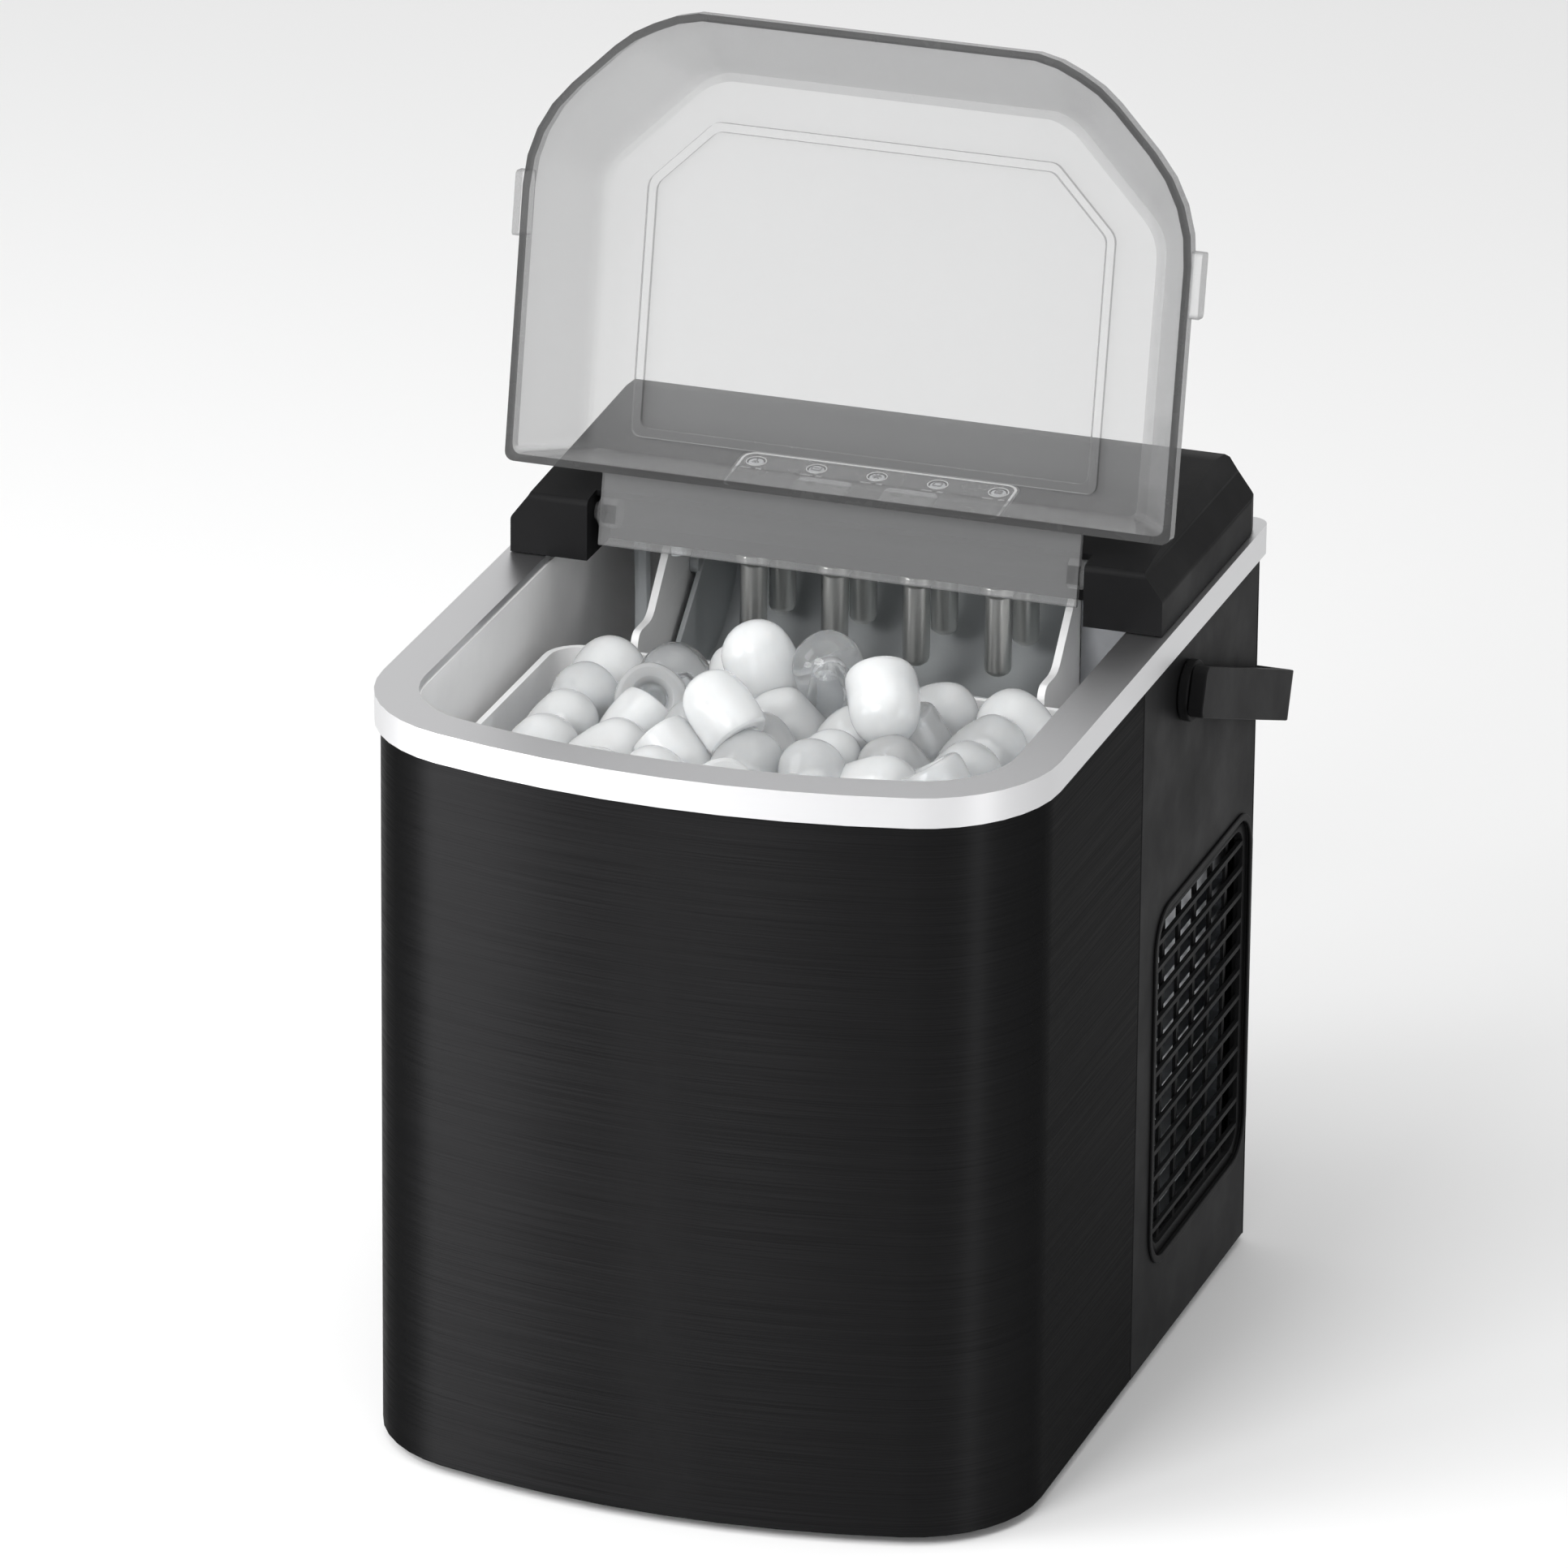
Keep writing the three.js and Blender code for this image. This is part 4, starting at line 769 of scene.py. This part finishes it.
class ICEMAKER_OT_handle(IceMakerOperator, bpy.types.Operator):
    """Folding carry handle and its pivots"""

    bl_idname = "icemaker.handle"
    bl_label = "Carry handle"

    def execute(self, context):
        refined("carry_handle", HANDLE_EDGE, 4)
        for name in ("handle_pivot_left", "handle_pivot_right"):
            refined(name, WALL_EDGE)
        return {"FINISHED"}


class ICEMAKER_OT_bin(IceMakerOperator, bpy.types.Operator):
    """White liner, basket and tray guides"""

    bl_idname = "icemaker.bin"
    bl_label = "Ice bin"

    def execute(self, context):
        for name in ("inner_liner", "side_guide_left", "side_guide_right"):
            refined(name, WALL_EDGE)
        refined("ice_basket", WALL_EDGE, whole_faces=False)
        return {"FINISHED"}


class ICEMAKER_OT_ice_works(IceMakerOperator, bpy.types.Operator):
    """Evaporator, cold fingers, water tray, pusher, motor and pump"""

    bl_idname = "icemaker.ice_works"
    bl_label = "Ice works"

    def execute(self, context):
        for name in ("evaporator_block", "water_tray", "ice_pusher", "tray_motor", "water_pump"):
            refined(name, FINE_EDGE)
        for i in range(FINGERS):
            refined(f"cold_finger_{i + 1}", FINE_EDGE)
        refined("pump_hose", FILM_EDGE, 1)
        return {"FINISHED"}


class ICEMAKER_OT_machine_space(IceMakerOperator, bpy.types.Operator):
    """Compressor, condenser, fan, lines and boards"""

    bl_idname = "icemaker.machine_space"
    bl_label = "Machine space"

    def execute(self, context):
        for name in ("compressor", "fan_shroud", "fan_blade", "fan_motor", "filter_drier",
                     "discharge_line", "suction_line", "power_board"):
            refined(name, FINE_EDGE, 2)
        pierced("condenser")
        for i in range(GROMMETS):
            refined(f"compressor_grommet_{i + 1}", GROMMET_EDGE, 2)
        return {"FINISHED"}


# ---------------------------------------------------------------- ice
HEAP_SEED = 11
TURN_SEED = 5
LAID_MARGIN = 0.0035  # from the outside of the basket's walls to the ice as it is first laid
SPILL = 0.008  # how far the top layers may lean out over the basket's edge
ICE_REACH = 0.03  # no piece of ice reaches this far from its centre
ICE_SPACING = 1.84  # between the centres of neighbours, in radii
LAYER_RISE = 0.74  # height of a layer, in spacings
JITTER = 0.003
HEAP_FALL = 1.45  # how fast the heap's top falls away from its peak
HEAP_STRETCH = 0.55  # it falls away this much less from back to front
HEAP_UNEVEN = 0.006
PEAK_FORWARD = 0.018  # from the rear row of ice to the heap's peak
CORNER_X, CORNER_Y, CORNER_RADIUS = 0.045, 0.03, 0.038  # the front corners that are left without ice
ICE_SIDES = 20
HOLE_RADIUS = 0.40  # of the ice's own radius
HOLE_DEPTH = 0.62  # of the ice's own length
ICE_MIX = ("clear", "cloudy", "cloudy", "cloudy", "cloudy", "milky", "milky", "milky")
ICE_LOOKS = {"clear": (0.9, 0.02, 0.08), "cloudy": (0.70, 0.02, 0.10), "milky": (0.50, 0.06, 0.16)}


def bullet_profile(radius, length):
    """Radius and height of each ring of a piece of ice, from its dome to the bottom of its hole."""
    foot = -length / 2
    depth = length * HOLE_DEPTH
    hole = radius * HOLE_RADIUS
    profile = [(0.0, foot)]
    for k in range(1, 6):
        angle = math.pi / 2 * k / 5
        profile.append((radius * 0.93 * math.sin(angle), foot + radius * 0.8 * (1 - math.cos(angle))))
    side = ((0.45, 0.99), (0.7, 1.0), (0.9, 0.98), (0.975, 0.93), (1.0, 0.84))
    lip = ((1.0, 0.56), (0.96, 0.43))
    for share, grow in side + lip:
        profile.append((radius * grow, foot + length * share))
    profile += [(hole, length / 2 - depth * 0.6), (hole * 0.9, length / 2 - depth * 0.9)]
    profile.append((0.0, length / 2 - depth))
    return profile


def bullet(work, place, radius, length, seed):
    """Adds one thimble of ice, unevenly melted: a domed body with the hole that a cold finger left."""
    rings = []
    shift = Vector((seed * 3.7, seed * 1.3, seed))
    for r, z in bullet_profile(radius, length):
        count = ICE_SIDES if r else 1
        ring = []
        for i in range(count):
            angle = 2 * math.pi * i / ICE_SIDES
            p = Vector((r * math.cos(angle), r * math.sin(angle), z))
            melt = noise.noise((p + shift) * 110.0)
            swell = 1.0 + 0.07 * melt
            ring.append(work.verts.new(place @ Vector((p.x * swell, p.y * swell, p.z * (1.0 + 0.03 * melt)))))
        rings.append(ring)
    for a, b in zip(rings, rings[1:]):
        for i in range(ICE_SIDES):
            j = (i + 1) % ICE_SIDES
            if len(a) == 1:
                work.faces.new((a[0], b[j], b[i]))
            elif len(b) == 1:
                work.faces.new((a[i], a[j], b[0]))
            else:
                work.faces.new((a[i], a[j], b[j], b[i]))


def lattice(low, high, step):
    """Points in level layers from the floor up, every other layer shifted by half a step."""
    layer = 0
    z = low.z
    while z < high.z:
        shift = (layer % 2) * step / 2
        y = low.y + shift
        while y <= high.y + 1e-6:
            x = low.x + shift
            while x <= high.x + 1e-6:
                yield x, y, z
                x += step
            y += step
        z += step * LAYER_RISE
        layer += 1


def settle(centres, step, low, high):
    """Pushes pieces that are too close apart, and keeps them over the basket."""
    for _ in range(40):
        for i, a in enumerate(centres):
            for b in centres[i + 1:]:
                gap = b - a
                if 0 < gap.length < step:
                    push = gap.normalized() * (step - gap.length) * 0.25
                    a -= push
                    b += push
        for c in centres:
            spill = SPILL if c.z > BASKET_HIGH.z + 0.006 else 0.0
            c.x = min(max(c.x, low.x - spill), high.x + spill)
            c.y = min(max(c.y, low.y - spill), high.y)
            c.z = min(max(c.z, low.z), high.z)


def heap_places(radius):
    """Centres of the ice: a jittered lattice under the heap's rounded top, settled apart."""
    chance = random.Random(HEAP_SEED)
    wall = LAID_MARGIN + radius
    low = BASKET_LOW + Vector((wall, wall + 0.002, wall))
    high = Vector((BASKET_HIGH.x - wall, BASKET_HIGH.y - wall, BASKET_HIGH.z + sizes().heap))
    peak = Vector(((low.x + high.x) / 2, high.y - PEAK_FORWARD, 0))
    step = radius * ICE_SPACING
    centres = []
    for x, y, z in lattice(low, high, step):
        away = Vector((x, y, 0)) - peak
        away.y *= HEAP_STRETCH
        surface = high.z - HEAP_FALL * away.length_squared - HEAP_UNEVEN * chance.random()
        corner = max(0.0, abs(x) - CORNER_X) ** 2 + max(0.0, low.y + CORNER_Y - y) ** 2
        if z <= surface and corner < CORNER_RADIUS ** 2:
            jitter = Vector([chance.uniform(-JITTER, JITTER) for _ in range(3)])
            centres.append(Vector((x, y, z)) + jitter)
    settle(centres, step, low, high)
    return centres


def basket_walls():
    """The planes that ice stays inside, seen from above: each one's outward direction and distance."""
    points = [vert.co.xy for vert in frame["nodes"]["ice_basket"].data.vertices]
    ring = [points[i] for i in geometry.convex_hull_2d(points)]
    centre = sum(ring, Vector((0, 0))) / len(ring)
    walls = []
    for a, b in zip(ring, ring[1:] + ring[:1]):
        outward = (b - a).orthogonal().normalized()
        if outward.dot(a - centre) < 0:
            outward.negate()
        walls.append((outward, outward.dot(a) - BASKET_MARGIN))
    return walls


def hold_inside(verts, centre, walls):
    """Moves a piece of ice in until what is under the basket's edge is clear of its walls and floor."""
    for outward, distance in walls:
        if outward.dot(centre.xy) + ICE_REACH < distance:
            continue
        reaches = (outward.dot(v.co.xy) for v in verts if v.co.z < BASKET_HIGH.z)
        past = max(reaches, default=distance) - distance
        if past > 0:
            for v in verts:
                v.co.x -= outward.x * past
                v.co.y -= outward.y * past
    sunk = BASKET_LOW.z + BASKET_MARGIN - min(v.co.z for v in verts)
    if sunk > 0:
        for v in verts:
            v.co.z += sunk


class ICEMAKER_OT_ice(IceMakerOperator, bpy.types.Operator):
    """Heap of bullet ice in the basket"""

    bl_idname = "icemaker.ice"
    bl_label = "Ice"

    def execute(self, context):
        radius, length = sizes().ice_radius, sizes().ice_length
        chance = random.Random(TURN_SEED)
        walls = basket_walls()
        batches = {kind: bmesh.new() for kind in ICE_LOOKS}
        for i, centre in enumerate(heap_places(radius)):
            upright = 0 if chance.random() < 0.16 else math.pi
            lean = chance.uniform(-1.15, 1.15)
            turn = Euler((upright + lean, chance.uniform(-1.0, 1.0), chance.uniform(0, math.tau)))
            size = chance.uniform(0.92, 1.06)
            work = batches[chance.choice(ICE_MIX)]
            place = Matrix.Translation(centre) @ turn.to_matrix().to_4x4()
            before = len(work.verts)
            bullet(work, place, radius * size, length * size, i)
            work.verts.ensure_lookup_table()
            hold_inside(work.verts[before:], centre, walls)
        for kind, work in batches.items():
            material = ice_material("Ice " + kind.title(), *ICE_LOOKS[kind])
            piece = add_piece("ice_" + kind, mesh_from("ice_" + kind, work), "basket", "lens", material)
            smooth = piece.modifiers.new("Melted", "SUBSURF")
            smooth.levels = 1
            smooth.render_levels = 1
        return {"FINISHED"}


# ---------------------------------------------------------------- stage
FLOOR_HALF = 6.0
FLOOR_TONE = (0.86, 0.86, 0.86, 1)
AMBIENT = 0.56
LIGHT_AIM = Vector((0, 0, 0.2))
LIGHTS = (  # name, place and size in metres, power in watts
    ("Key", (-1.8, -0.9, 1.7), (1.2, 1.2), 20),
    ("Left Strip", (-1.25, -1.15, 0.35), (0.8, 1.0), 22),
    ("Right Strip", (1.5, -0.7, 0.5), (0.2, 1.2), 5),
    ("Top", (0.1, -0.1, 1.9), (1.6, 1.6), 11),
    ("Inside Fill", (-0.25, -1.1, 0.95), (0.5, 0.5), 9),
    ("Back Card", (-0.3, 2.2, 1.0), (2.6, 1.4), 3),
)
CAMERA_ANGLES = (18.74, 22.11, 0.55)  # azimuth from the front, elevation and roll, in degrees
CAMERA_DISTANCE = 3.942
CAMERA_AIM = Vector((-0.0114, 0.0064, 0.1916))
CAMERA_LENS = 284.4  # millimetres


class ICEMAKER_OT_stage(IceMakerOperator, bpy.types.Operator):
    """Pale floor, soft studio light and the camera"""

    bl_idname = "icemaker.stage"
    bl_label = "Stage"

    def execute(self, context):
        context.scene.view_settings.view_transform = "Standard"
        self.floor()
        self.lights()
        self.camera()
        return {"FINISHED"}

    def floor(self):
        work = bmesh.new()
        bmesh.ops.create_grid(work, x_segments=1, y_segments=1, size=FLOOR_HALF)
        mesh = mesh_from("floor", work)
        material, _, shader = new_material("Pale Floor", Roughness=0.9)
        shader.inputs["Base Color"].default_value = FLOOR_TONE
        mesh.materials.append(material)
        floor = bpy.data.objects.new("floor", mesh)
        bpy.context.scene.collection.objects.link(floor)

    def lights(self):
        world = bpy.data.worlds.new("Studio")
        world.use_nodes = True
        background = world.node_tree.nodes["Background"]
        background.inputs["Color"].default_value = (1, 1, 1, 1)
        background.inputs["Strength"].default_value = AMBIENT
        bpy.context.scene.world = world
        for name, place, size, power in LIGHTS:
            data = bpy.data.lights.new(name, "AREA")
            data.shape = "RECTANGLE"
            data.size, data.size_y = size
            data.energy = power
            lamp = bpy.data.objects.new(name, data)
            lamp.location = place
            lamp.rotation_euler = (LIGHT_AIM - Vector(place)).to_track_quat("-Z", "Y").to_euler()
            bpy.context.scene.collection.objects.link(lamp)

    def camera(self):
        azimuth, elevation, roll = map(math.radians, CAMERA_ANGLES)
        level = math.cos(elevation)
        away = Vector((math.sin(azimuth) * level, -math.cos(azimuth) * level, math.sin(elevation)))
        data = bpy.data.cameras.new("Camera")
        data.lens = CAMERA_LENS
        camera = bpy.data.objects.new("Camera", data)
        place = Matrix.Translation(CAMERA_AIM + away * CAMERA_DISTANCE)
        turn = (-away).to_track_quat("-Z", "Y").to_matrix().to_4x4()
        camera.matrix_world = place @ turn @ Matrix.Rotation(roll, 4, "Z")
        bpy.context.scene.collection.objects.link(camera)
        bpy.context.scene.camera = camera


class ICEMAKER_PT_pieces(bpy.types.Panel):
    """Lists the pieces and their settings"""

    bl_idname = "ICEMAKER_PT_pieces"
    bl_label = "Ice Maker"
    bl_space_type = "VIEW_3D"
    bl_region_type = "UI"
    bl_category = "Ice Maker"

    def draw(self, context):
        for settings in (context.scene.ice_maker_sizes, context.scene.ice_maker_colours):
            column = self.layout.column()
            for name in settings.__annotations__:
                column.prop(settings, name)
        for operator in OPERATORS:
            self.layout.operator(operator.bl_idname)


OPERATORS = (
    ICEMAKER_OT_stage, ICEMAKER_OT_casing, ICEMAKER_OT_rim, ICEMAKER_OT_grilles, ICEMAKER_OT_cover,
    ICEMAKER_OT_panel, ICEMAKER_OT_lid, ICEMAKER_OT_handle, ICEMAKER_OT_bin, ICEMAKER_OT_ice_works,
    ICEMAKER_OT_machine_space, ICEMAKER_OT_ice,
)
CLASSES = (IceMakerSizes, IceMakerColours, *OPERATORS, ICEMAKER_PT_pieces)


def register():
    for cls in CLASSES:
        bpy.utils.register_class(cls)
    bpy.types.Scene.ice_maker_sizes = bpy.props.PointerProperty(type=IceMakerSizes)
    bpy.types.Scene.ice_maker_colours = bpy.props.PointerProperty(type=IceMakerColours)


def unregister():
    del bpy.types.Scene.ice_maker_colours
    del bpy.types.Scene.ice_maker_sizes
    for cls in reversed(CLASSES):
        bpy.utils.unregister_class(cls)


def main():
    """Builds every piece on the frame."""
    register()
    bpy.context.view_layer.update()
    for operator in OPERATORS:
        group_name, name = operator.bl_idname.split(".")
        getattr(getattr(bpy.ops, group_name), name)()


if __name__ == "__main__":
    main()
